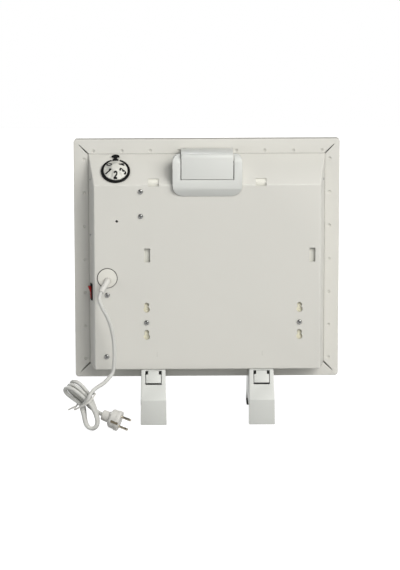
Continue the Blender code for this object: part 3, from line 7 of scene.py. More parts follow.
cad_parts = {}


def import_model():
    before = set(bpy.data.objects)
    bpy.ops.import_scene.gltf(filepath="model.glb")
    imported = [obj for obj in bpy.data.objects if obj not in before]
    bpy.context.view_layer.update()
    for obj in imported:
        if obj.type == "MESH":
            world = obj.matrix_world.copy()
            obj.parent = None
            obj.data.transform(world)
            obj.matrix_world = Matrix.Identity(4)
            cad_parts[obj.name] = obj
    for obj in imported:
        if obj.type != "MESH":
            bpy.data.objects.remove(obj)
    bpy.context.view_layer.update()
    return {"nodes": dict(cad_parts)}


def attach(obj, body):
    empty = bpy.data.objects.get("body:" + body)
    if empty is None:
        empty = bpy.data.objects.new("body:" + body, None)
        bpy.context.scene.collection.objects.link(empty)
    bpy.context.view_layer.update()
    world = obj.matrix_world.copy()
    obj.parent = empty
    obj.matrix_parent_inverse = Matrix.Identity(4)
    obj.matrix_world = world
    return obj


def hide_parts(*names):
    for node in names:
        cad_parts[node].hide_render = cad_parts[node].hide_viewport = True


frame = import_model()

nodes = frame["nodes"]
mm = 0.001
BODY = "heater"


def new_object(name, data):
    made = bpy.data.objects.new(name, data)
    bpy.context.scene.collection.objects.link(made)
    return made


# Camera

def photo_camera():
    """A long lens behind the heater, a little above it."""
    place = (-0.1150, -5.6758, 1.5579)
    pitch, yaw, roll = math.radians(13.0265), math.radians(1.0335), math.radians(-0.071)
    forward = Vector((math.sin(yaw) * math.cos(pitch), math.cos(yaw) * math.cos(pitch), -math.sin(pitch)))
    right = Vector((math.cos(yaw), -math.sin(yaw), 0))
    lens = bpy.data.cameras.new("photo_camera")
    lens.sensor_fit = "VERTICAL"
    lens.sensor_height = 36
    lens.lens = 198.15
    lens.clip_end = 60
    made = new_object("photo_camera", lens)
    turn = Matrix((right, right.cross(forward), -forward)).transposed().to_4x4()
    made.matrix_world = Matrix.Translation(place) @ turn @ Matrix.Rotation(roll, 4, "Z")
    bpy.context.scene.camera = made


photo_camera()


# Node groups
NUMBER, COLOR, VECTOR = "NodeSocketFloat", "NodeSocketColor", "NodeSocketVector"


def new_group(name, inputs, outputs):
    tree = bpy.data.node_groups.new(name, "ShaderNodeTree")
    for label, kind, value in inputs:
        tree.interface.new_socket(label, in_out="INPUT", socket_type=kind).default_value = value
    for label, kind in outputs:
        tree.interface.new_socket(label, in_out="OUTPUT", socket_type=kind)
    start = tree.nodes.new("NodeGroupInput")
    end = tree.nodes.new("NodeGroupOutput")
    return tree, start, end


def feed(tree, socket, value):
    """Sets a socket to a number, or links it to an output."""
    if isinstance(value, (int, float)):
        socket.default_value = value
    else:
        tree.links.new(value, socket)


def noise(tree, vector, scale, detail):
    node = tree.nodes.new("ShaderNodeTexNoise")
    node.inputs["Detail"].default_value = detail
    feed(tree, node.inputs["Vector"], vector)
    feed(tree, node.inputs["Scale"], scale)
    return node.outputs["Fac"]


def remap(tree, value, low, high, start=0.0):
    """Spreads the part of a value between start and 1 from low to high."""
    node = tree.nodes.new("ShaderNodeMapRange")
    for label, source in (("Value", value), ("From Min", start), ("To Min", low), ("To Max", high)):
        feed(tree, node.inputs[label], source)
    return node.outputs["Result"]


def calculate(tree, operation, *values, clamp=False):
    node = tree.nodes.new("ShaderNodeMath")
    node.operation = operation
    node.use_clamp = clamp
    for socket, value in zip(node.inputs, values):
        feed(tree, socket, value)
    return node.outputs["Value"]


def mix_colors(tree, factor, first, second):
    node = tree.nodes.new("ShaderNodeMix")
    node.data_type = "RGBA"
    for label, source in (("Factor", factor), ("A", first), ("B", second)):
        tree.links.new(source, node.inputs[label])
    return node.outputs["Result"]


def bump(tree, height, strength, distance):
    node = tree.nodes.new("ShaderNodeBump")
    for label, source in (("Distance", distance), ("Strength", strength), ("Height", height)):
        feed(tree, node.inputs[label], source)
    return node.outputs["Normal"]


def surface_grain_group():
    """A fine pebbled skin, for powder coat and moulded plastic."""
    tree, start, end = new_group(
        "surface_grain",
        [
            ("Scale", NUMBER, 900.0),
            ("Depth", NUMBER, 0.05),
            ("Roughness Low", NUMBER, 0.35),
            ("Roughness High", NUMBER, 0.5),
        ],
        [("Normal", VECTOR), ("Roughness", NUMBER)],
    )
    place = tree.nodes.new("ShaderNodeTexCoord").outputs["Object"]
    fine = noise(tree, place, start.outputs["Scale"], 2.0)
    tree.links.new(bump(tree, fine, start.outputs["Depth"], 0.4 * mm), end.inputs["Normal"])
    broad = noise(tree, place, 14.0, 3.0)
    rough = remap(tree, broad, start.outputs["Roughness Low"], start.outputs["Roughness High"])
    tree.links.new(rough, end.inputs["Roughness"])
    return tree


def drift_and_painted_shade_group():
    """A colour that drifts a little, with painted shade where ambient occlusion finds creases, recesses and gaps,
    and painted shade on level tops.
    """
    tree, start, end = new_group(
        "drift_and_painted_shade",
        [
            ("Color", COLOR, (0.7, 0.7, 0.7, 1)),
            ("Drift Color", COLOR, (0.65, 0.65, 0.65, 1)),
            ("Crease Color", COLOR, (0.4, 0.4, 0.38, 1)),
            ("Crease", NUMBER, 0.3),
            ("Dust", NUMBER, 0.0),
            ("Scale", NUMBER, 6.0),
        ],
        [("Color", COLOR), ("Dust Mask", NUMBER)],
    )
    place = tree.nodes.new("ShaderNodeTexCoord").outputs["Object"]
    mask = noise(tree, place, start.outputs["Scale"], 4.0)
    drifted = mix_colors(tree, mask, start.outputs["Color"], start.outputs["Drift Color"])
    # Painted shade: ambient occlusion darkens creases, recesses and gaps towards the painted shade colour.
    shade = tree.nodes.new("ShaderNodeAmbientOcclusion")
    shade.inputs["Distance"].default_value = 4 * mm
    shade.samples = 6
    hidden = remap(tree, shade.outputs["AO"], start.outputs["Crease"], 0.0)
    with_painted_shade = mix_colors(tree, hidden, drifted, start.outputs["Crease Color"])
    # Painted shade on level tops: faces turned upwards darken towards the painted shade colour, and the mask goes
    # out so those tops can be made matt.
    facing = tree.nodes.new("ShaderNodeSeparateXYZ")
    tree.links.new(tree.nodes.new("ShaderNodeNewGeometry").outputs["True Normal"], facing.inputs["Vector"])
    level = remap(tree, facing.outputs["Z"], 0.0, start.outputs["Dust"], start=0.8)
    top_shaded = mix_colors(tree, level, with_painted_shade, start.outputs["Crease Color"])
    tree.links.new(top_shaded, end.inputs["Color"])
    tree.links.new(level, end.inputs["Dust Mask"])
    return tree


def drawn_lines_group():
    """Long fine lines along one direction, for extruded, drawn or brushed metal."""
    tree, start, end = new_group(
        "drawn_lines",
        [
            ("Stretch", VECTOR, (4.0, 900.0, 900.0)),
            ("Depth", NUMBER, 0.1),
            ("Roughness Low", NUMBER, 0.25),
            ("Roughness High", NUMBER, 0.45),
        ],
        [("Normal", VECTOR), ("Roughness", NUMBER)],
    )
    place = tree.nodes.new("ShaderNodeTexCoord").outputs["Object"]
    scaled = tree.nodes.new("ShaderNodeVectorMath")
    scaled.operation = "MULTIPLY"
    tree.links.new(place, scaled.inputs[0])
    tree.links.new(start.outputs["Stretch"], scaled.inputs[1])
    lines = noise(tree, scaled.outputs["Vector"], 1.0, 3.0)
    tree.links.new(bump(tree, lines, start.outputs["Depth"], 0.3 * mm), end.inputs["Normal"])
    rough = remap(tree, lines, start.outputs["Roughness Low"], start.outputs["Roughness High"])
    tree.links.new(rough, end.inputs["Roughness"])
    return tree


surface_grain = surface_grain_group()
drift_and_painted_shade = drift_and_painted_shade_group()
drawn_lines = drawn_lines_group()


def group_node(tree, group, **values):
    node = tree.nodes.new("ShaderNodeGroup")
    node.node_tree = group
    for label, value in values.items():
        node.inputs[label.replace("_", " ").title()].default_value = value
    return node


def toned(name, color, drift, crease, painted_shade_amount, scale, dust=0.0):
    """A material that has its colour, with the nodes that its other inputs need."""
    made = bpy.data.materials.new(name)
    made.use_nodes = True
    tree = made.node_tree
    shader = tree.nodes["Principled BSDF"]
    tone = group_node(
        tree, drift_and_painted_shade, color=(*color, 1), drift_color=(*drift, 1), crease_color=(*crease, 1),
        crease=painted_shade_amount, dust=dust, scale=scale,
    )
    tree.links.new(tone.outputs["Color"], shader.inputs["Base Color"])
    return made, tree, shader, tone


def add_skin(tree, shader, group, depth, rough, **values):
    """Takes a material's normal and roughness from a group."""
    skin = group_node(tree, group, depth=depth, roughness_low=rough[0], roughness_high=rough[1], **values)
    tree.links.new(skin.outputs["Normal"], shader.inputs["Normal"])
    tree.links.new(skin.outputs["Roughness"], shader.inputs["Roughness"])
    return skin.outputs["Roughness"]


def coated(
    name, color, drift, crease, grain, depth, rough, scale=6.0, painted_shade_amount=0.3, specular=0.5, dust=0.0
):
    """A painted, moulded or sheathed surface, made matt on the level tops where it has painted top shade."""
    made, tree, shader, tone = toned(name, color, drift, crease, painted_shade_amount, scale, dust)
    shader.inputs["Specular IOR Level"].default_value = specular
    roughness = add_skin(tree, shader, surface_grain, depth, rough, scale=grain)
    # The mask of the painted top shade also raises the roughness, so level tops are matt.
    if dust:
        matt = calculate(tree, "ADD", roughness, tone.outputs["Dust Mask"], clamp=True)
        tree.links.new(matt, shader.inputs["Roughness"])
    return made


def metal(name, color, dark, stretch, depth, rough, painted_shade_amount=0.4):
    """A bare or plated metal with fine lines in it."""
    # The third colour, 0.4 of the dark tone, is painted shade that ambient occlusion lays in creases and recesses.
    made, tree, shader, _ = toned(name, color, dark, [c * 0.4 for c in dark], painted_shade_amount, 60.0)
    shader.inputs["Metallic"].default_value = 1.0
    add_skin(tree, shader, drawn_lines, depth, rough, stretch=stretch)
    return made


# The third colour of each finish is the painted shade that ambient occlusion lays in its creases and recesses.
white_enamel = coated(
    "white_enamel", (0.69, 0.68, 0.635), (0.665, 0.655, 0.615), (0.26, 0.25, 0.22), 1100, 0.10, (0.38, 0.5),
    # White enamel also takes painted shade on its level tops.
    painted_shade_amount=0.6, dust=0.7
)
white_plastic = coated(
    "white_plastic", (0.70, 0.71, 0.685), (0.68, 0.69, 0.665), (0.30, 0.30, 0.28), 2200, 0.08, (0.42, 0.55), 9.0
)
dial_white = coated(
    "dial_white", (0.68, 0.675, 0.625), (0.65, 0.645, 0.60), (0.28, 0.27, 0.24), 2400, 0.05, (0.38, 0.48), 30.0
)
cord_sheath = coated(
    "cord_sheath", (0.60, 0.60, 0.575), (0.56, 0.56, 0.535), (0.22, 0.22, 0.20), 1500, 0.06, (0.42, 0.6), 20.0, 0.5
)
plug_white = coated(
    "plug_white", (0.66, 0.65, 0.62), (0.63, 0.62, 0.59), (0.28, 0.27, 0.25), 1900, 0.08, (0.42, 0.55), 18.0
)
foot_plastic = coated(
    "foot_plastic", (0.645, 0.655, 0.63), (0.625, 0.635, 0.61), (0.27, 0.27, 0.25), 2200, 0.08, (0.42, 0.55), 9.0
)
black_plastic = coated(
    "black_plastic", (0.008, 0.008, 0.009), (0.011, 0.011, 0.011), (0.004, 0.004, 0.004), 1700, 0.1, (0.45, 0.6),
    30.0, specular=0.08
)
print_black = coated(
    "print_black", (0.008, 0.008, 0.009), (0.010, 0.010, 0.011), (0.004, 0.004, 0.004), 1700, 0.05, (0.55, 0.65),
    30.0, specular=0.08
)
black_rubber = coated(
    "black_rubber", (0.016, 0.016, 0.016), (0.03, 0.03, 0.028), (0.006, 0.006, 0.006), 900, 0.5, (0.7, 0.9), 25.0
)
red_plastic = coated(
    "red_plastic", (0.42, 0.010, 0.008), (0.36, 0.008, 0.007), (0.12, 0.004, 0.003), 1500, 0.03, (0.2, 0.3), 30.0,
    specular=0.25
)
cream_steel = coated(
    "cream_steel", (0.88, 0.85, 0.68), (0.86, 0.82, 0.65), (0.24, 0.20, 0.09), 900, 0.12, (0.4, 0.55), 12.0, 1.0
)
shield_steel = coated(
    "shield_steel", (0.84, 0.83, 0.76), (0.82, 0.81, 0.74), (0.58, 0.55, 0.47), 900, 0.12, (0.4, 0.55), 12.0, 0.1
)
plate_cream = coated(
    "plate_cream", (0.74, 0.725, 0.67), (0.72, 0.705, 0.65), (0.32, 0.31, 0.28), 1500, 0.06, (0.42, 0.55), 9.0
)
ceramic_white = coated(
    "ceramic_white", (0.72, 0.69, 0.62), (0.66, 0.63, 0.56), (0.3, 0.28, 0.24), 500, 0.08, (0.2, 0.35), 30.0
)
wire_skin = 1500, 0.05, (0.3, 0.45)
brown_wire = coated("brown_wire", (0.12, 0.05, 0.02), (0.10, 0.04, 0.02), (0.03, 0.01, 0.01), *wire_skin, 30.0)
blue_wire = coated("blue_wire", (0.02, 0.09, 0.38), (0.02, 0.08, 0.33), (0.01, 0.02, 0.1), *wire_skin, 30.0)
earth_wire = coated("earth_wire", (0.22, 0.42, 0.04), (0.6, 0.52, 0.03), (0.05, 0.1, 0.01), *wire_skin, 90.0)
zinc_steel = metal("zinc_steel", (0.56, 0.56, 0.55), (0.46, 0.46, 0.44), (60, 600, 600), 0.15, (0.28, 0.42))
dark_steel = metal("dark_steel", (0.36, 0.36, 0.35), (0.20, 0.20, 0.20), (300, 300, 300), 0.2, (0.16, 0.28), 0.9)
aluminium = metal("aluminium", (0.62, 0.63, 0.64), (0.55, 0.56, 0.57), (4, 900, 900), 0.3, (0.3, 0.5))
nickel = metal("nickel", (0.38, 0.35, 0.29), (0.25, 0.22, 0.17), (200, 500, 500), 0.08, (0.16, 0.28))
bronze = metal("bronze", (0.20, 0.17, 0.12), (0.13, 0.11, 0.08), (200, 500, 500), 0.1, (0.3, 0.45))
brass = metal("brass", (0.72, 0.54, 0.24), (0.6, 0.44, 0.18), (200, 500, 500), 0.15, (0.25, 0.4))

node_finishes = {
    cream_steel: ("hanger_channel_left", "hanger_channel_right"),
    shield_steel: ("heat_shield",),
    zinc_steel: (
        "element_rod", "element_bracket_left", "element_bracket_right", "cutout_bracket", "handle_pin",
        "handle_screws_1", "handle_screws_2", "thermostat_screws_1", "thermostat_screws_2", "thermostat_shaft",
    ),
    aluminium: ("heating_element",),
    ceramic_white: ("overheat_cutout", "terminal_block"),
    black_plastic: ("thermostat_body", "cable_clamp"),
    brass: ("earth_tag",),
    cord_sheath: ("cord_inside",),
    brown_wire: (
        "wire_block_to_switch", "wire_switch_to_thermostat", "wire_thermostat_to_cutout", "wire_cutout_to_element",
    ),
    blue_wire: ("wire_block_to_element",),
    earth_wire: ("wire_earth",),
}
for finish, names in node_finishes.items():
    for name in names:
        mesh = nodes[name].data
        mesh.materials.clear()
        mesh.materials.append(finish)


# Making pieces

def to_object(shape, name, finish, angle=40):
    """An object of a bmesh, smooth except at its sharp edges."""
    bmesh.ops.recalc_face_normals(shape, faces=shape.faces)
    mesh = bpy.data.meshes.new(name)
    shape.to_mesh(mesh)
    shape.free()
    mesh.shade_smooth()
    mesh.set_sharp_from_angle(angle=math.radians(angle))
    if finish:
        mesh.materials.append(finish)
    return new_object(name, mesh)


def ready(made, body, *stands_for):
    """Lets a piece ride on its body and stand for its nodes."""
    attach(made, body)
    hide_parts(*stands_for)
    return made


def evaluated(made, angle=40):
    """Applies a piece's modifiers."""
    bpy.context.view_layer.update()
    graph = bpy.context.evaluated_depsgraph_get()
    mesh = bpy.data.meshes.new_from_object(made.evaluated_get(graph))
    old = made.data
    made.modifiers.clear()
    made.data = mesh
    bpy.data.meshes.remove(old)
    mesh.shade_smooth()
    mesh.set_sharp_from_angle(angle=math.radians(angle))


def cut(made, shape, operation="DIFFERENCE", matrix=None, angle=40):
    """Cuts a shape out of a piece, or joins it on, and leaves no cutter behind."""
    tool = to_object(shape, "cutting_shape", None)
    if matrix:
        tool.matrix_world = matrix
    step = made.modifiers.new("cut", "BOOLEAN")
    step.object = tool
    step.operation = operation
    step.solver = "EXACT"
    evaluated(made, angle)
    bpy.data.objects.remove(tool, do_unlink=True)


def soften(shape, width, segments=2, angle=28):
    """Rounds the sharp edges of a shape."""
    bmesh.ops.remove_doubles(shape, verts=shape.verts, dist=0.02 * mm)
    bmesh.ops.dissolve_limit(shape, angle_limit=math.radians(0.6), verts=shape.verts, edges=shape.edges)
    sharp = [e for e in shape.edges if len(e.link_faces) == 2 and e.calc_face_angle(0) > math.radians(angle)]
    bmesh.ops.bevel(
        shape, geom=sharp, offset=width, segments=segments, profile=0.5, affect="EDGES", clamp_overlap=True
    )


def rounded_node(name, finish, width, body=BODY, segments=2, angle=28):
    """The same solid as a node, with its edges rounded."""
    shape = bmesh.new()
    shape.from_mesh(nodes[name].data)
    soften(shape, width, segments, angle)
    return ready(to_object(shape, name + "_finished", finish), body, name)


def add_box(shape, low, high, matrix=None):
    size = Vector(high) - Vector(low)
    middle = (Vector(high) + Vector(low)) / 2
    place = Matrix.Translation(middle) @ Matrix.Diagonal((*size, 1))
    bmesh.ops.create_cube(shape, size=1, matrix=matrix @ place if matrix else place)


def add_prism(shape, outline, start, end, along_x=False):
    """Extrudes an outline of (x, z) along Y, or one of (y, z) along X."""
    near = [shape.verts.new((start, a, z) if along_x else (a, start, z)) for a, z in outline]
    far = [shape.verts.new((end, a, z) if along_x else (a, end, z)) for a, z in outline]
    shape.faces.new(near)
    shape.faces.new(list(reversed(far)))
    for i in range(len(outline)):
        j = (i + 1) % len(outline)
        shape.faces.new((near[i], far[i], far[j], near[j]))


def add_round(shape, radius, depth, matrix, segments=16):
    """Adds a cylinder along the Z axis of a matrix."""
    bmesh.ops.create_cone(
        shape, cap_ends=True, segments=segments, radius1=radius, radius2=radius, depth=depth, matrix=matrix
    )


def join_loops(shape, loops):
    """Fills the space between each loop of vertices and the next."""
    for a, b in zip(loops, loops[1:]):
        for i in range(len(a)):
            j = (i + 1) % len(a)
            shape.faces.new((a[i], a[j], b[j], b[i]))


def tube(name, line, radii, depth, resolution, finish):
    """A round tube along a line: its depth times the radius at each point is how thick it is."""
    curve = bpy.data.curves.new(name, "CURVE")
    curve.dimensions = "3D"
    curve.bevel_depth = depth
    curve.bevel_resolution = resolution
    curve.use_fill_caps = True
    spline = curve.splines.new("POLY")
    spline.points.add(len(line) - 1)
    for spot, point, radius in zip(spline.points, line, radii):
        spot.co = (*point, 1)
        spot.radius = radius
    curve.materials.append(finish)
    return new_object(name, curve)


def outward(place, out):
    """A matrix at a place with its Z axis pointing out."""
    return Matrix.Translation(place) @ Vector(out).to_track_quat("Z", "Y").to_matrix().to_4x4()


def arc(centre, radius, start, end, steps):
    angles = [math.radians(start + (end - start) * i / steps) for i in range(steps + 1)]
    return [(centre[0] + radius * math.cos(a), centre[1] + radius * math.sin(a)) for a in angles]


def rounded_box(x0, x1, z0, z1, radius, steps):
    points = []
    for cx, cz, start in ((x1 - radius, z1 - radius, 0), (x0 + radius, z1 - radius, 90),
                          (x0 + radius, z0 + radius, 180), (x1 - radius, z0 + radius, 270)):
        points += arc((cx, cz), radius, start, start + 90, steps)
    return points


def turned(profile, steps, name, finish, matrix, angle=40):
    """Turns a profile of (radius, height) in millimetres, which starts and ends on the axis."""
    shape = bmesh.new()
    verts = [shape.verts.new((r * mm, 0, z * mm)) for r, z in profile]
    edges = [shape.edges.new(pair) for pair in zip(verts, verts[1:])]
    bmesh.ops.spin(
        shape, geom=verts + edges, cent=(0, 0, 0), axis=(0, 0, 1), angle=math.tau, steps=steps, use_merge=True
    )
    bmesh.ops.remove_doubles(shape, verts=shape.verts, dist=0.004 * mm)
    made = to_object(shape, name, finish, angle)
    made.matrix_world = matrix
    return made


# Sizes of the heater, as its solids have them
sheet = 1.2 * mm
gap = 0.3 * mm
panel_half, panel_low, panel_high, panel_deep = 245 * mm, 70 * mm, 520 * mm, 15 * mm
flange = 27 * mm
cover_half = panel_half - flange
cover_low, cover_high = panel_low + flange, panel_high - flange
cover_deep, cover_taper, slope_high = 55 * mm, 10 * mm, 48 * mm
fold_z = cover_high - slope_high
slope_long = math.hypot(cover_deep, slope_high)
slope_angle = math.atan2(slope_high, cover_deep)
wall_angle = math.atan2(cover_taper, cover_deep)
slope_out = Vector((0, -math.sin(slope_angle), math.cos(slope_angle)))
screw_places = ((-122.3, 432.5), (-122.3, 386.7), (-184.3, 239), (-186, 122.2), (-112, 186.5), (169.8, 186.5))
side_screws = ((-1, 448 * mm), (-1, 344 * mm), (1, 448 * mm))
cable_x, cable_z = -184 * mm, 271 * mm
slot_half, slot_pitch = 1.8 * mm, 12 * mm
foot_x = 100 * mm


# Mains cord, from the strain relief through the hank to the plug
cord_radius = 3.5 * mm
lead_route = (
    (-195.2, -88.4, 251.7), (-197.3, -92.7, 248.1), (-198.4, -97.2, 241.6), (-196.2, -100.4, 233.0),
    (-191.6, -102.4, 223.6), (-185.6, -102.6, 212.0), (-179.8, -101.2, 198.0), (-175.6, -99.4, 182.0),
    (-172.8, -98.0, 164.0), (-171.6, -98.0, 146.0), (-171.6, -99.0, 128.0), (-174.0, -101.0, 106.4),
    (-179.3, -106.0, 98.2), (-187.4, -114.0, 91.0), (-195.7, -123.0, 86.6), (-205.1, -132.0, 83.0),
    (-211.9, -140.0, 78.7), (-216.9, -147.0, 72.3), (-219.9, -148.9, 65.4), (-226.6, -145.4, 57.2),
    (-231.4, -138.9, 47.4), (-229.5, -138.7, 38.4),
)
tail_route = (
    (-224.6, -113.8, 51.7), (-219.6, -114.4, 45.2), (-214.2, -112.3, 39.6), (-208.3, -110.6, 35.6),
    (-202.6, -112.4, 32.4), (-197.8, -116.4, 30.4), (-193.1, -119.6, 28.7),
)
hank_loops = 3
hank_points_per_loop = 24
hank_upper_lengths, hank_lower_lengths = (50, 50, 47, 46), (50, 52.5, 55, 55)
hank_upper_leans, hank_lower_lean = (58, 58, 56, 53), math.radians(6)
hank_end_width, hank_waist, hank_pitch = 19.5 * mm, 9 * mm, 8 * mm
hank_blend, hank_round, hank_turn = 0.4, 0.1, math.radians(38)
hank_x, hank_y = -215.8 * mm, -128 * mm
hank_starts_after, hank_ends_before = math.radians(25.8), math.radians(8.6)


def at_level(values, level):
    """The value for a layer of the hank, blended between two layers while it climbs."""
    low = min(int(level), len(values) - 2)
    share = min(level - low, 1)
    return values[low] * (1 - share) + values[low + 1] * share


def hank_axes(lean, turn):
    """The directions along the hank, across its loops and through its layers."""
    along = Vector((-math.sin(lean), 0, math.cos(lean)))
    aside = Vector((-math.cos(lean), 0, -math.sin(lean)))
    behind = Vector((0, 1, 0))
    across = aside * math.cos(turn) + behind * math.sin(turn)
    through = behind * math.cos(turn) - aside * math.sin(turn)
    return along, across, through


def hank_route():
    """Long loops laid one behind another, each bent and drawn in at the waist."""
    start = math.pi / 2 + hank_starts_after
    end = math.pi / 2 + math.tau * hank_loops - hank_ends_before
    count = round((end - start) / math.tau * hank_points_per_loop)
    points = []
    for i in range(count + 1):
        turn = start + (end - start) * i / count
        rounds = (turn - math.pi / 2) / math.tau
        part = rounds - math.floor(rounds)
        climb = min(max((part - 0.25) / 0.5, 0), 1)
        level = math.floor(rounds) + climb**2 * (3 - 2 * climb)
        reach = math.hypot(math.cos(turn), hank_blend)
        up = (reach + math.cos(turn)) / 2
        down = reach - up
        share = up / reach
        upper_lean = math.radians(at_level(hank_upper_leans, level))
        upper = hank_axes(upper_lean, 0)[0] * at_level(hank_upper_lengths, level) * mm
        lower = -hank_axes(hank_lower_lean, 0)[0] * at_level(hank_lower_lengths, level) * mm
        _, across, through = hank_axes(upper_lean * share + hank_lower_lean * (1 - share), hank_turn * share)
        spread = (reach - hank_blend) / (math.hypot(1, hank_blend) - hank_blend)
        width = hank_waist + (hank_end_width - hank_waist) * spread
        run = upper * up * (1 + hank_round * (1 - up**2)) + lower * down * (1 + hank_round * (1 - down**2))
        side = (level - hank_loops / 2) * hank_pitch
        points.append(run + across * width * math.sin(turn) + through * side)
    lowest = min(p.z for p in points)
    centre = Vector((hank_x, hank_y, cord_radius + gap - lowest))
    return [centre + p for p in points], centre


def smooth_line(points, step):
    """Points at an even spacing along a smooth curve through the given ones."""
    points = [Vector(p) for p in points]
    framed = [points[0] * 2 - points[1]] + points + [points[-1] * 2 - points[-2]]
    fine, steps = [], 24
    for a, b, c, d in zip(framed, framed[1:], framed[2:], framed[3:]):
        for i in range(steps):
            t = i / steps
            curved = (a * 2 - b * 5 + c * 4 - d) * t**2 + (b * 3 - a - c * 3 + d) * t**3
            fine.append((b * 2 + (c - a) * t + curved) / 2)
    fine.append(points[-1])
    lengths = [0.0]
    for a, b in zip(fine, fine[1:]):
        lengths.append(lengths[-1] + (b - a).length)
    count = max(2, round(lengths[-1] / step))
    line, at = [], 0
    for i in range(count + 1):
        wanted = lengths[-1] * i / count
        while at < len(fine) - 2 and lengths[at + 1] < wanted:
            at += 1
        share = (wanted - lengths[at]) / max(lengths[at + 1] - lengths[at], 1e-6)
        line.append(fine[at].lerp(fine[at + 1], min(share, 1)))
    return line, lengths[-1]


def mains_cord():
    lead = [Vector(p) * mm for p in lead_route]
    tail = [Vector(p) * mm for p in tail_route]
    loops, centre = hank_route()
    line, length = smooth_line(lead + loops + tail, 3 * mm)
    made = tube("mains_cord_whole", line, [1] * len(line), cord_radius, 6, cord_sheath)
    ready(made, BODY, "mains_cord", "cord_hank", "cord_tail")
    return made, length, centre


cord, cord_length, hank_centre = mains_cord()


# Front panel

def slot_row(half_long):
    """The middles of the air slots in a row of at most this half length."""
    count = int(2 * half_long / slot_pitch) + 1
    return [slot_pitch * i - slot_pitch * (count - 1) / 2 for i in range(count)]


def panel_loop(shape, half, y, radius):
    """A rounded outline as far outside the cover's edge on every side."""
    grow = half - cover_half
    outline = rounded_box(-half, half, cover_low - grow, cover_high + grow, radius, 6)
    return [shape.verts.new((x, y, z)) for x, z in outline]


def mitre_slits():
    """The wedges between the ends of the flange, as deep as the cover's lip behind them."""
    slits = bmesh.new()
    long = flange * 0.64 * math.sqrt(2)
    for sx in (-1, 1):
        for corner_z, sz in ((cover_high, 1), (cover_low, -1)):
            along = Vector((sx, 0, sz)).normalized()
            aside = Vector((along.z, 0, -along.x))
            start = Vector((sx * (cover_half - 0.8 * mm), 0, corner_z - sz * 0.8 * mm))
            end = start + along * long
            wide, thin = aside * 1.5 * mm, aside * 0.6 * mm
            outline = [start - wide, start + wide, end + thin, end - thin]
            add_prism(slits, [(p.x, p.z) for p in outline], -1 * mm, 4 * mm)
    return slits


def front_panel():
    """A tray with a rolled edge, whose flange turns in round the back."""
    shape = bmesh.new()
    roll, corner, inner_corner = 1.5 * mm, 6 * mm, 0.5 * mm
    turns = [math.radians(a) for a in (0, 22.5, 45, 67.5, 90)]
    rolled = [(panel_half - roll + roll * math.sin(a), roll - roll * math.cos(a)) for a in turns]
    rolled += [(panel_half - roll + roll * math.cos(a), panel_deep - roll + roll * math.sin(a)) for a in turns]
    loops = [panel_loop(shape, cover_half, y, inner_corner) for y in (sheet, 0)]
    loops += [panel_loop(shape, half, y, corner - (panel_half - half)) for half, y in rolled]
    inside = [panel_loop(shape, panel_half - sheet, y, corner - sheet) for y in (panel_deep - sheet, sheet)]
    join_loops(shape, loops)
    shape.faces.new(loops[-1])
    shape.faces.new(list(reversed(inside[0])))
    join_loops(shape, inside + loops[:1])
    panel = to_object(shape, "front_panel_finished", white_enamel)

    marks = bmesh.new()
    dimple_radius, dimple_rise = 3.7 * mm, 1.8 * mm
    places = [(-208.9 + 52.6 * i, z) for z in (498.3, 91) for i in range(9)]
    places += [(x, 483 - 63 * i) for x in (-225.5, 226.5) for i in range(7)]
    for x, z in places:
        spot = Matrix.Translation((x * mm, -dimple_rise, z * mm))
        bmesh.ops.create_uvsphere(marks, u_segments=24, v_segments=16, radius=dimple_radius, matrix=spot)
    cut(panel, marks)

    cut(panel, mitre_slits())

    outlets = bmesh.new()
    for x in slot_row(207 * mm):
        outline = rounded_box(x - slot_half, x + slot_half, 440 * mm, 486 * mm, 1.7 * mm, 4)
        add_prism(outlets, outline, 10 * mm, 20 * mm)
    cut(panel, outlets)
    ready(panel, BODY, "front_panel")


front_panel()


# Back cover

def keyhole(x, z):
    step, large, small = 8.4 * mm, 5.8 * mm, 4.6 * mm
    cross = (step**2 + large**2 - small**2) / (2 * step)
    cross_x = math.sqrt(large**2 - cross**2)
    low = math.degrees(math.atan2(cross, cross_x))
    high = math.degrees(math.atan2(cross - step, cross_x))
    points = arc((x, z - step / 2), large, 180 - low, 360 + low, 24)
    return points + arc((x, z + step / 2), small, high, 180 - high, 20)[1:-1]


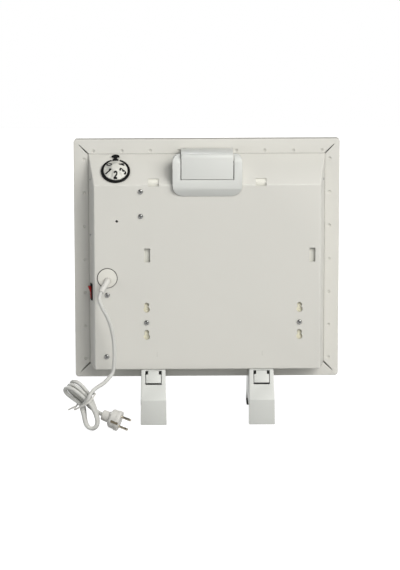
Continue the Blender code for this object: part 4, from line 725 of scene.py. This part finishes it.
def back_cover():
    """A pressed cover with rounded folds, a sloping top and a lip behind the flange."""
    half = cover_half - gap
    top, bottom = cover_high - gap, cover_low + gap
    lip_y, lip = sheet + gap, 20 * mm
    rear = half - cover_taper
    shape = bmesh.new()
    rows = [
        (half + lip, lip_y, top + lip, bottom - lip),
        (half, lip_y, top, bottom),
        (half, 0, top, bottom),
        (rear, -cover_deep, top - slope_high, bottom),
    ]
    loops = []
    for x, y, high, low in rows:
        loops.append([shape.verts.new(c) for c in ((-x, y, high), (x, y, high), (x, y, low), (-x, y, low))])
    join_loops(shape, loops)
    shape.faces.new(loops[-1])
    shape.normal_update()
    bmesh.ops.reverse_faces(shape, faces=shape.faces)
    folds = [e for e in shape.edges if min(v.co.y for v in e.verts) < -1 * mm]
    bmesh.ops.bevel(shape, geom=folds, offset=1.9 * mm, segments=4, profile=0.5, affect="EDGES")
    mesh = bpy.data.meshes.new("back_cover_finished")
    shape.to_mesh(mesh)
    shape.free()
    mesh.materials.append(white_enamel)
    cover = new_object("back_cover_finished", mesh)
    wall = cover.modifiers.new("wall", "SOLIDIFY")
    wall.thickness = sheet
    wall.offset = -1
    wall.use_even_offset = True
    evaluated(cover, 25)

    # Hook slots, middle slots, keyholes, the pilot hole, the cable's hole, screw holes and two pressed marks
    outside, inside = -60 * mm, -50 * mm
    holes = bmesh.new()
    for x in (-98.5 * mm, 98.5 * mm):
        low = (x - 9.7 * mm, outside, fold_z - 2.5 * mm)
        add_box(holes, low, (x + 9.7 * mm, -35 * mm, fold_z + 9.5 * mm))
    for x in (-110.5 * mm, 193 * mm):
        outline = rounded_box(x - 5.4 * mm, x + 5.4 * mm, 300.5 * mm, 326.5 * mm, 0.8 * mm, 3)
        add_prism(holes, outline, outside, inside)
    for x in (-112 * mm, 169.8 * mm):
        for z in (215.5 * mm, 164 * mm):
            add_prism(holes, keyhole(x, z), outside, inside)
    add_prism(holes, arc((-165.8 * mm, 377.5 * mm), 2.4 * mm, 0, 345, 23), outside, inside)
    add_prism(holes, arc((cable_x, cable_z), 15.8 * mm, 0, 354, 59), outside, inside)
    for x, z in screw_places:
        add_prism(holes, arc((x * mm, z * mm), 2.2 * mm, 0, 345, 23), outside, inside)
    for x, z in ((-92.8, 125.8), (101.3, 127.1)):
        outline = rounded_box((x - 0.9) * mm, (x + 0.9) * mm, (z - 4) * mm, (z + 4) * mm, 0.8 * mm, 3)
        add_prism(holes, outline, outside, -cover_deep + 0.4 * mm)
    cut(cover, holes, angle=25)

    # Air slots clear of the feet, and the holes of the feet's hooks
    inlets = bmesh.new()
    middle = -cover_deep / 2
    for x in slot_row(177.7 * mm):
        if abs(abs(x) - foot_x) > 32 * mm:
            low = (x - slot_half, middle - 15 * mm, bottom - 2.5 * mm)
            add_box(inlets, low, (x + slot_half, middle + 15 * mm, bottom + 2.5 * mm))
    for foot in (-foot_x, foot_x):
        for x in (foot - 19 * mm, foot + 19 * mm):
            low = (x - 1.5 * mm, -36.3 * mm, cover_low - 2 * mm)
            add_box(inlets, low, (x + 1.5 * mm, -27.7 * mm, cover_low + 6.3 * mm))
    cut(cover, inlets, angle=25)

    shaft_hole = bmesh.new()
    add_round(shaft_hole, 3.8 * mm, 10 * mm, dial_place, 32)
    for x in (-13.5 * mm, 13.5 * mm):
        add_round(shaft_hole, 1.8 * mm, 10 * mm, dial_place @ Matrix.Translation((x, 0, 0)))
    cut(cover, shaft_hole, angle=25)

    # The switch's hole and the holes of the screws in the side walls and under the handle
    wall_holes = bmesh.new()
    add_box(wall_holes, (-6.3 * mm, -14.3 * mm, -5 * mm), (6.3 * mm, 14.3 * mm, 5 * mm), wall_place)
    for side, z in side_screws:
        add_round(wall_holes, 1.7 * mm, 8 * mm, outward(*side_screw_place(side, z)))
    for x in (-39 * mm, 39 * mm):
        point = (x, -24 * mm, cover_high - gap - 24 * mm * slope_high / cover_deep)
        add_round(wall_holes, 2.1 * mm, 8 * mm, outward(point, slope_out))
    cut(cover, wall_holes, angle=25)
    cut(cover, mitre_slits(), angle=25)
    ready(cover, BODY, "back_cover")


def side_screw_place(side, z):
    """Where a screw meets a side wall, and the way out of the wall."""
    deep = 18 * mm
    out = Vector((side * math.cos(wall_angle), -math.sin(wall_angle), 0))
    x = side * (cover_half - gap - deep * cover_taper / cover_deep)
    return Vector((x, -deep, z)), out


def place_on_slope():
    """A frame at the middle of the dial: Y runs up the slope and Z out of it."""
    share = 41.5 * mm / slope_long
    centre = (-167.5 * mm, -cover_deep * share, cover_high - gap - slope_high * share)
    return Matrix.Translation(centre) @ Matrix.Rotation(slope_angle, 4, "X")


def place_on_wall():
    """A frame at the middle of the switch: X runs to the back, Y up and Z out of the wall."""
    out = Vector((-math.cos(wall_angle), -math.sin(wall_angle), 0))
    up = Vector((0, 0, 1))
    along = up.cross(out)
    turn = Matrix((along, up, out)).transposed().to_4x4()
    x = -cover_half + gap + cover_taper / 2
    return Matrix.Translation((x, -cover_deep / 2, 239.7 * mm)) @ turn


dial_place = place_on_slope()
wall_place = place_on_wall()
back_cover()


# Screws

def pan_screw(name, node, finish, seat, out, radius, height, shank, length, spin):
    """A pan head with a cross recess on its shank, sized in millimetres."""
    rim = height * 0.35
    profile = [(0, height)]
    profile += [(radius * 0.3, height * 0.985), (radius * 0.58, height * 0.9), (radius * 0.82, height * 0.7)]
    profile += [(radius * 0.96, rim), (radius, rim * 0.5), (radius * 0.98, 0)]
    profile += [(shank, 0), (shank, -length), (0, -length)]
    matrix = outward(seat, out) @ Matrix.Rotation(math.radians(spin), 4, "Z")
    screw = turned(profile, 28, name, finish, matrix, 35)
    arm, width = radius * 0.62, radius * 0.2
    for x, y in ((arm, width), (width, arm)):
        recess = bmesh.new()
        bmesh.ops.create_cone(
            recess, cap_ends=True, segments=4, radius1=0.5, radius2=1, depth=1,
            matrix=Matrix.Translation((0, 0, height * 0.8 * mm))
            @ Matrix.Diagonal((x * math.sqrt(2) * mm, y * math.sqrt(2) * mm, height * 1.1 * mm, 1))
            @ Matrix.Rotation(math.radians(45), 4, "Z"),
        )
        cut(screw, recess, matrix=matrix, angle=35)
    ready(screw, BODY, node)


for number, (x, z) in enumerate(screw_places, 1):
    seat = (x * mm, -cover_deep - gap, z * mm)
    pan_screw(f"cover_screw_{number}", f"cover_screws_{number}", dark_steel, seat, (0, -1, 0),
              4.6, 2.4, 1.9, 12, 17 + 37 * number)
for number, (side, z) in enumerate(side_screws, 1):
    surface, out = side_screw_place(side, z)
    pan_screw(f"side_screw_{number}", f"side_screws_{number}", zinc_steel, surface + out * gap, out,
              2.6, 1.4, 1.4, 6, 25 * number)


# Dial, in millimetres
dial_edges = 240
dial_foot_radius, dial_foot_height = 21.8, 5.2
dial_hub_radius, dial_hub_height = 8.05, 14.8
flute_start, flute_width, flute_depth = 8.5, 12.6, 2.0
numeral_step, numeral_radius, numeral_squeeze = math.radians(64), 14.9, 0.95


def flute(angle):
    """How deep the side is scooped at an angle, from 0 at a numeral to 1 between two of them."""
    turn = (angle + math.pi / 2 + math.pi) % math.tau - math.pi
    if abs(turn) > numeral_step * 2.5:
        return 0
    return max(0, -math.cos(turn / numeral_step * math.tau)) ** 1.5


def side_height(radius, angle):
    """The height of the dial's sloping side, with its scoops."""
    rise = (dial_hub_height - dial_foot_height) / (dial_foot_radius - dial_hub_radius)
    share = min(max((radius - flute_start) / flute_width, 0), 1)
    scoop = flute_depth * math.sin(math.pi * share) * flute(angle)
    return dial_foot_height + rise * (dial_foot_radius - radius) - scoop


def dial_loop(shape, radius, height=None):
    """A loop of vertices at a height, or on the dial's side where none is given."""
    loop = []
    for i in range(dial_edges):
        angle = math.tau * i / dial_edges
        z = side_height(radius, angle) if height is None else height
        loop.append(shape.verts.new(Vector((radius * math.cos(angle), radius * math.sin(angle), z)) * mm))
    return loop


def thermostat_dial():
    """A dial with a rounded hub, scoops between its numerals and a bore for its shaft."""
    shape = bmesh.new()
    rows = [(21.8, 2.6), (21.8, 4.7), (21.65, 5.05), (21.3, 5.35)]
    rows += [(20.7 - 0.87 * i, None) for i in range(15)]
    rows += [(8.2, 14.9), (7.7, 15.5), (7.0, 15.9), (6.0, 16.1), (3.0, 16.15)]
    loops = [dial_loop(shape, *row) for row in rows]
    join_loops(shape, loops)
    shape.faces.new(loops[-1])
    bore = [dial_loop(shape, 3.3, height) for height in (2.6, 12.6)]
    join_loops(shape, loops[:1] + bore)
    shape.faces.new(bore[1])
    dial = to_object(shape, "dial_finished", dial_white, 30)
    dial.matrix_world = dial_place
    ready(dial, "dial", "thermostat_dial")


def numeral_strokes(text):
    """The pen's paths of a numeral in millimetres, with whether each one is closed."""
    def bow(middle, wide, high, first, last, steps):
        turns = [math.radians(first + (last - first) * i / steps) for i in range(steps + 1)]
        return [(wide * math.cos(t), middle + high * math.sin(t)) for t in turns]

    return {
        "0": [(bow(0, 2.8, 4.9, 0, 345, 23), True)],
        "1": [([(0.7, 5.9), (0.7, -6.2)], False), ([(-2.6, 2.9), (0.6, 4.9)], False)],
        "2": [(bow(2.2, 2.7, 2.7, 170, -35, 10) + [(-2.3, -4.5)], False), ([(-3.7, -4.9), (3.3, -4.9)], False)],
        "3": [
            (bow(2.6, 2.7, 2.6, 160, -90, 12) + [(-1.0, 0.0)], False),
            ([(-1.0, 0.0)] + bow(-2.6, 3.0, 2.6, 90, -160, 12), False),
        ],
        "4": [
            ([(1.5, -6.2), (1.5, 5.9)], False),
            ([(1.5, 5.2), (-3.1, -2.0)], False),
            ([(-4.2, -2.3), (3.9, -2.3)], False),
        ],
    }[text]


def pen_stroke(shape, path, closed, level):
    """A flat band of the pen's width along a path, with short steps on its straight parts."""
    pen = 2.7
    path = [Vector(p) for p in path]
    fine = []
    for a, b in zip(path, path[1:]):
        steps = max(1, round((b - a).length))
        fine += [a.lerp(b, i / steps) for i in range(steps)]
    fine.append(path[-1])
    count = len(fine)
    rows = []
    for i, point in enumerate(fine):
        runs = []
        if closed or i:
            runs.append((point - fine[i - 1]).normalized())
        if closed or i + 1 < count:
            runs.append((fine[(i + 1) % count] - point).normalized())
        mean = sum(runs, Vector((0, 0))).normalized()
        aside = Vector((-mean.y, mean.x)) * pen / 2 / max(mean.dot(runs[0]), 0.6)
        rows.append([shape.verts.new((*(point + aside * share), level)) for share in (1, 0, -1)])
    for a, b in zip(rows, rows[1:] + (rows[:1] if closed else [])):
        for i in range(2):
            shape.faces.new((a[i], b[i], b[i + 1], a[i + 1]))


def numeral(text, place):
    """A printed numeral that follows the dial's side, with its top towards the hub."""
    shape = bmesh.new()
    sunk, raised, apart = -0.25, 0.2, 0.03
    for number, (path, closed) in enumerate(numeral_strokes(text)):
        pen_stroke(shape, path, closed, number * apart)
    result = bmesh.ops.extrude_face_region(shape, geom=shape.faces[:])
    lifted = {v for v in result["geom"] if isinstance(v, bmesh.types.BMVert)}
    start = -math.pi / 2 + place * numeral_step
    for vert in shape.verts:
        u, v, level = vert.co
        radius = numeral_radius - v
        angle = start + u * numeral_squeeze / radius
        height = side_height(radius, angle) + level + (raised if vert in lifted else sunk)
        vert.co = Vector((radius * math.cos(angle), radius * math.sin(angle), height)) * mm
    made = to_object(shape, f"dial_numeral_{text}", print_black, 60)
    made.matrix_world = dial_place
    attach(made, "dial")


thermostat_dial()
for place, text in enumerate("01234", -2):
    numeral(text, place)
rounded_node("dial_ring", black_plastic, 0.7 * mm, segments=3)
rounded_node("dial_index", black_plastic, 0.8 * mm, segments=3)

# Switch
rounded_node("switch_housing", black_plastic, 0.6 * mm)
rounded_node("switch_rocker", red_plastic, 0.7 * mm, "rocker", 3, 12)

# Handle
rounded_node("handle_bail", white_plastic, 0.7 * mm, "bail", 3)
rounded_node("handle_base", white_plastic, 0.7 * mm, segments=3)

# Feet
for side in ("left", "right"):
    rounded_node("foot_" + side, foot_plastic, 1.1 * mm, segments=3)
    rounded_node("foot_latch_" + side, foot_plastic, 0.7 * mm, "latch_" + side)
    rounded_node("foot_pad_" + side, black_rubber, 0.9 * mm)


# Cable plate and strain relief

def cable_plate():
    """A round plate with a rounded brim, a rim coloured black as a painted shadow gap, and a skirt in the cover's
    hole.
    """
    place = Matrix.Translation((cable_x, -cover_deep, cable_z)) @ Matrix.Rotation(math.pi / 2, 4, "X")
    outer, brim, thick, edge = 18.8, 17.6, 2.2, 0.6
    skirt, skirt_inside, skirt_low, under = 15.5, 14.3, -7, 0.3
    turns = [math.radians(a) for a in (22, 45, 67, 90)]
    profile = [(0, thick), (brim - edge, thick)]
    profile += [(brim - edge + edge * math.sin(a), thick - edge + edge * math.cos(a)) for a in turns]
    profile += [(brim, 0.7), (outer, 0.6), (outer, under), (skirt, under), (skirt, skirt_low)]
    profile += [(skirt_inside, skirt_low), (skirt_inside, under), (0, under)]
    plate = turned(profile, 72, "cable_plate_finished", plate_cream, place)
    # Painted shadow: the rim outside the brim takes black plastic, standing for the shadow gap round the plate.
    plate.data.materials.append(black_plastic)
    for face in plate.data.polygons:
        if face.center.xy.length > brim * mm and face.center.z > 0.4 * mm:
            face.material_index = 1
    hole = bmesh.new()
    add_round(hole, 6.4 * mm, 10 * mm, Matrix.Translation((0, -5.5 * mm, 0)), 32)
    cut(plate, hole, matrix=place)
    ready(plate, BODY, "cable_plate")


def strain_relief():
    """A tapered boot with shallow rings."""
    route = (
        (-184.0, -58.3, 265.5), (-185.2, -66.0, 264.6), (-188.0, -74.0, 261.8), (-191.8, -81.5, 257.4),
        (-195.0, -88.0, 252.0),
    )
    root, root_radius = Vector((-184, -46.8, 265.5)) * mm, 5.95 * mm
    wide, narrow, ring_depth, rings = 6.0, 4.4, 0.3 * mm, 5
    line, _ = smooth_line([Vector(p) * mm for p in route], 0.6 * mm)
    radii = [root_radius]
    for i in range(len(line)):
        share = i / (len(line) - 1)
        ring = ring_depth * max(0, math.sin(share * rings * math.tau)) if 0.15 < share < 0.9 else 0
        radii.append((wide + (narrow - wide) * share) * mm - ring)
    made = tube("strain_relief_finished", [root, *line], radii, 1, 8, plug_white)
    return ready(made, BODY, "strain_relief")


cable_plate()
boot = strain_relief()


# Tie and plug

def cord_tie():
    """A thin band round the waist of the hank and the cord in front of it, with a free end."""
    lean = (math.radians(hank_upper_leans[0]) + hank_lower_lean) / 2
    along, across, through = hank_axes(lean, hank_turn / 2)
    turn = Matrix((across, -through, along)).transposed().to_4x4()
    place = Matrix.Translation(hank_centre + (across * 8.1 - through * 5.5 + along * 4) * mm) @ turn
    thick, wide = 1 * mm, 3 * mm
    half_across, half_through = 18.5 * mm, 21.4 * mm
    shape = bmesh.new()
    loops = []
    for grow, z in ((0, -wide / 2), (thick, -wide / 2), (thick, wide / 2), (0, wide / 2)):
        points = rounded_box(
            -half_across - grow, half_across + grow, -half_through - grow, half_through + grow, 7 * mm + grow, 8
        )
        loops.append([shape.verts.new((x, y, z)) for x, y in points])
    join_loops(shape, loops + loops[:1])
    soften(shape, 0.25 * mm, 2, 50)
    band = to_object(shape, "cord_tie_finished", plug_white)
    band.matrix_world = place
    tail = bmesh.new()
    low = (half_across + thick / 2, -thick / 2, -wide * 0.45)
    add_box(tail, low, (half_across + 20 * mm, thick / 2, wide * 0.45))
    soften(tail, 0.25 * mm, 2)
    cut(band, tail, "UNION", matrix=place)
    return ready(band, BODY, "cord_tie")


plug_radius, pin_offset = 18.8, 9.5 * mm


def plug_place():
    """On the floor on the plug's rim, with its nose down."""
    aside, tip = math.radians(-15), math.radians(18)
    turn = Matrix.Rotation(aside, 4, "Z") @ Matrix.Rotation(math.pi / 2 + tip, 4, "Y")
    lift = plug_radius * mm * math.cos(tip) + gap
    return Matrix.Translation((-161.8 * mm, -128 * mm, lift)) @ turn


def plug_body():
    """A round plug with a thick neck and a groove on each side for the earth clips."""
    place = plug_place()
    profile = [(0, 0), (17.9, 0), (18.5, -0.3), (plug_radius, -0.9), (plug_radius, -6.2), (18.6, -6.8), (18.0, -7.1)]
    profile += [(17.86, -8), (17.7, -12), (17.5, -16.4), (17.1, -17.4), (16.2, -18.2), (13.4, -20.3), (12.4, -20.7)]
    profile += [(10.6, -21.3), (10.3, -22), (10, -30), (9.6, -34), (9.2, -34.7), (8.6, -35), (5.2, -35), (5.2, -32)]
    profile += [(0, -32)]
    body = turned(profile, 64, "plug_body_finished", plug_white, place, 30)
    cuts = bmesh.new()
    for x in (-pin_offset, pin_offset):
        add_round(cuts, 2.7 * mm, 12 * mm, Matrix.Translation((x, 0, -0.65 * mm)), 24)
    cut(body, cuts, matrix=place, angle=30)
    grooves = bmesh.new()
    rim, inner, low, bridge, above = 24 * mm, 15.3 * mm, -14.3 * mm, -12.1 * mm, 5 * mm
    outline = [(-rim, above), (-rim, low), (rim, low), (rim, above)]
    outline += [(inner, above), (inner, bridge), (-inner, bridge), (-inner, above)]
    add_prism(grooves, outline, -2.6 * mm, 2.6 * mm, along_x=True)
    cut(body, grooves, matrix=place, angle=30)
    return ready(body, BODY, "plug_body")


def plug_pin(x, name):
    """A pin with a rounded tip and a slightly thinner part near the plug."""
    place = plug_place() @ Matrix.Translation((x, 0, 0))
    thick, thin, root = 2.4, 2.3, -6.3
    profile = [(0, 19), (1.0, 18.9), (1.7, 18.5), (2.2, 17.7), (thick, 16.6), (thick, 10), (thin, 9.8), (thin, 0.2)]
    profile += [(thick, 0), (thick, root), (0, root)]
    pin = turned(profile, 32, name + "_finished", nickel, place, 30)
    return ready(pin, BODY, name)


tie = cord_tie()
plug = plug_body()
pins = [plug_pin(-pin_offset, "plug_pin_left"), plug_pin(pin_offset, "plug_pin_right")]
clip = rounded_node("plug_earth_clip", bronze, 0.4 * mm)


# Floor, backdrop and light

def emptied(made, output):
    """The node tree of a material or world with only its output, and that output's surface."""
    made.use_nodes = True
    made.node_tree.nodes.clear()
    return made.node_tree, made.node_tree.nodes.new(output).inputs["Surface"]


def seen_by(tree, *rays):
    """1 for the named kinds of ray and 0 for all others."""
    path = tree.nodes.new("ShaderNodeLightPath")
    seen = path.outputs[rays[0]]
    for ray in rays[1:]:
        seen = calculate(tree, "MAXIMUM", seen, path.outputs[ray])
    return seen


def floor():
    """A floor that looks as white as the backdrop and throws little light back."""
    material = bpy.data.materials.new("studio_floor")
    tree, surface = emptied(material, "ShaderNodeOutputMaterial")
    plain = tree.nodes.new("ShaderNodeBsdfDiffuse")
    plain.inputs["Color"].default_value = (0.34, 0.34, 0.34, 1)
    seen_level = 0.87
    glow = tree.nodes.new("ShaderNodeEmission")
    seen = seen_by(tree, "Is Camera Ray", "Is Glossy Ray", "Is Transmission Ray")
    tree.links.new(calculate(tree, "MULTIPLY", seen, seen_level), glow.inputs["Strength"])
    joined = tree.nodes.new("ShaderNodeAddShader")
    tree.links.new(plain.outputs[0], joined.inputs[0])
    tree.links.new(glow.outputs[0], joined.inputs[1])
    tree.links.new(joined.outputs[0], surface)
    shape = bmesh.new()
    bmesh.ops.create_grid(shape, x_segments=1, y_segments=1, size=3)
    made = to_object(shape, "studio_floor", material)


def world():
    """White where it is seen, and a soft light that weakens towards the top."""
    made = bpy.data.worlds.new("studio")
    bpy.context.scene.world = made
    tree, surface = emptied(made, "ShaderNodeOutputWorld")
    seen_shade = tree.nodes.new("ShaderNodeBackground")
    seen_shade.inputs["Color"].default_value = (1, 1, 1, 1)
    lit_shade = tree.nodes.new("ShaderNodeBackground")
    lit_shade.inputs["Color"].default_value = (0.93, 0.97, 1.0, 1)
    direction = tree.nodes.new("ShaderNodeSeparateXYZ")
    tree.links.new(tree.nodes.new("ShaderNodeTexCoord").outputs["Generated"], direction.inputs[0])
    above = calculate(tree, "MAXIMUM", direction.outputs["Z"], 0)
    side_level, fall_to_top = 0.36, -0.24
    strength = calculate(tree, "MULTIPLY_ADD", above, fall_to_top, side_level)
    tree.links.new(strength, lit_shade.inputs["Strength"])
    mix = tree.nodes.new("ShaderNodeMixShader")
    tree.links.new(seen_by(tree, "Is Camera Ray", "Is Transmission Ray"), mix.inputs["Fac"])
    tree.links.new(lit_shade.outputs[0], mix.inputs[1])
    tree.links.new(seen_shade.outputs[0], mix.inputs[2])
    tree.links.new(mix.outputs[0], surface)


def soft_lamp(name, place, size, power, color=(1, 1, 1)):
    """A round lamp aimed at the heater's middle."""
    aim = Vector((0, 0, 0.3))
    lamp = bpy.data.lights.new(name, "AREA")
    lamp.shape = "DISK"
    lamp.size = size
    lamp.energy = power
    lamp.color = color
    made = new_object(name, lamp)
    made.location = place
    made.rotation_euler = (aim - Vector(place)).to_track_quat("-Z", "Y").to_euler()


floor()
world()
soft_lamp("key_lamp", (3.6, -4.3, 4.0), 5.6, 330, (1, 0.985, 0.95))
soft_lamp("fill_lamp", (1.9, -5.1, 4.3), 4.0, 138, (1, 0.99, 0.96))
soft_lamp("side_lamp", (-5.7, -3.3, 1.4), 4.0, 47, (1, 0.99, 0.96))
soft_lamp("front_lamp", (-1.0, 3.5, 1.4), 2.4, 110)
bpy.context.scene.view_settings.view_transform = "Standard"
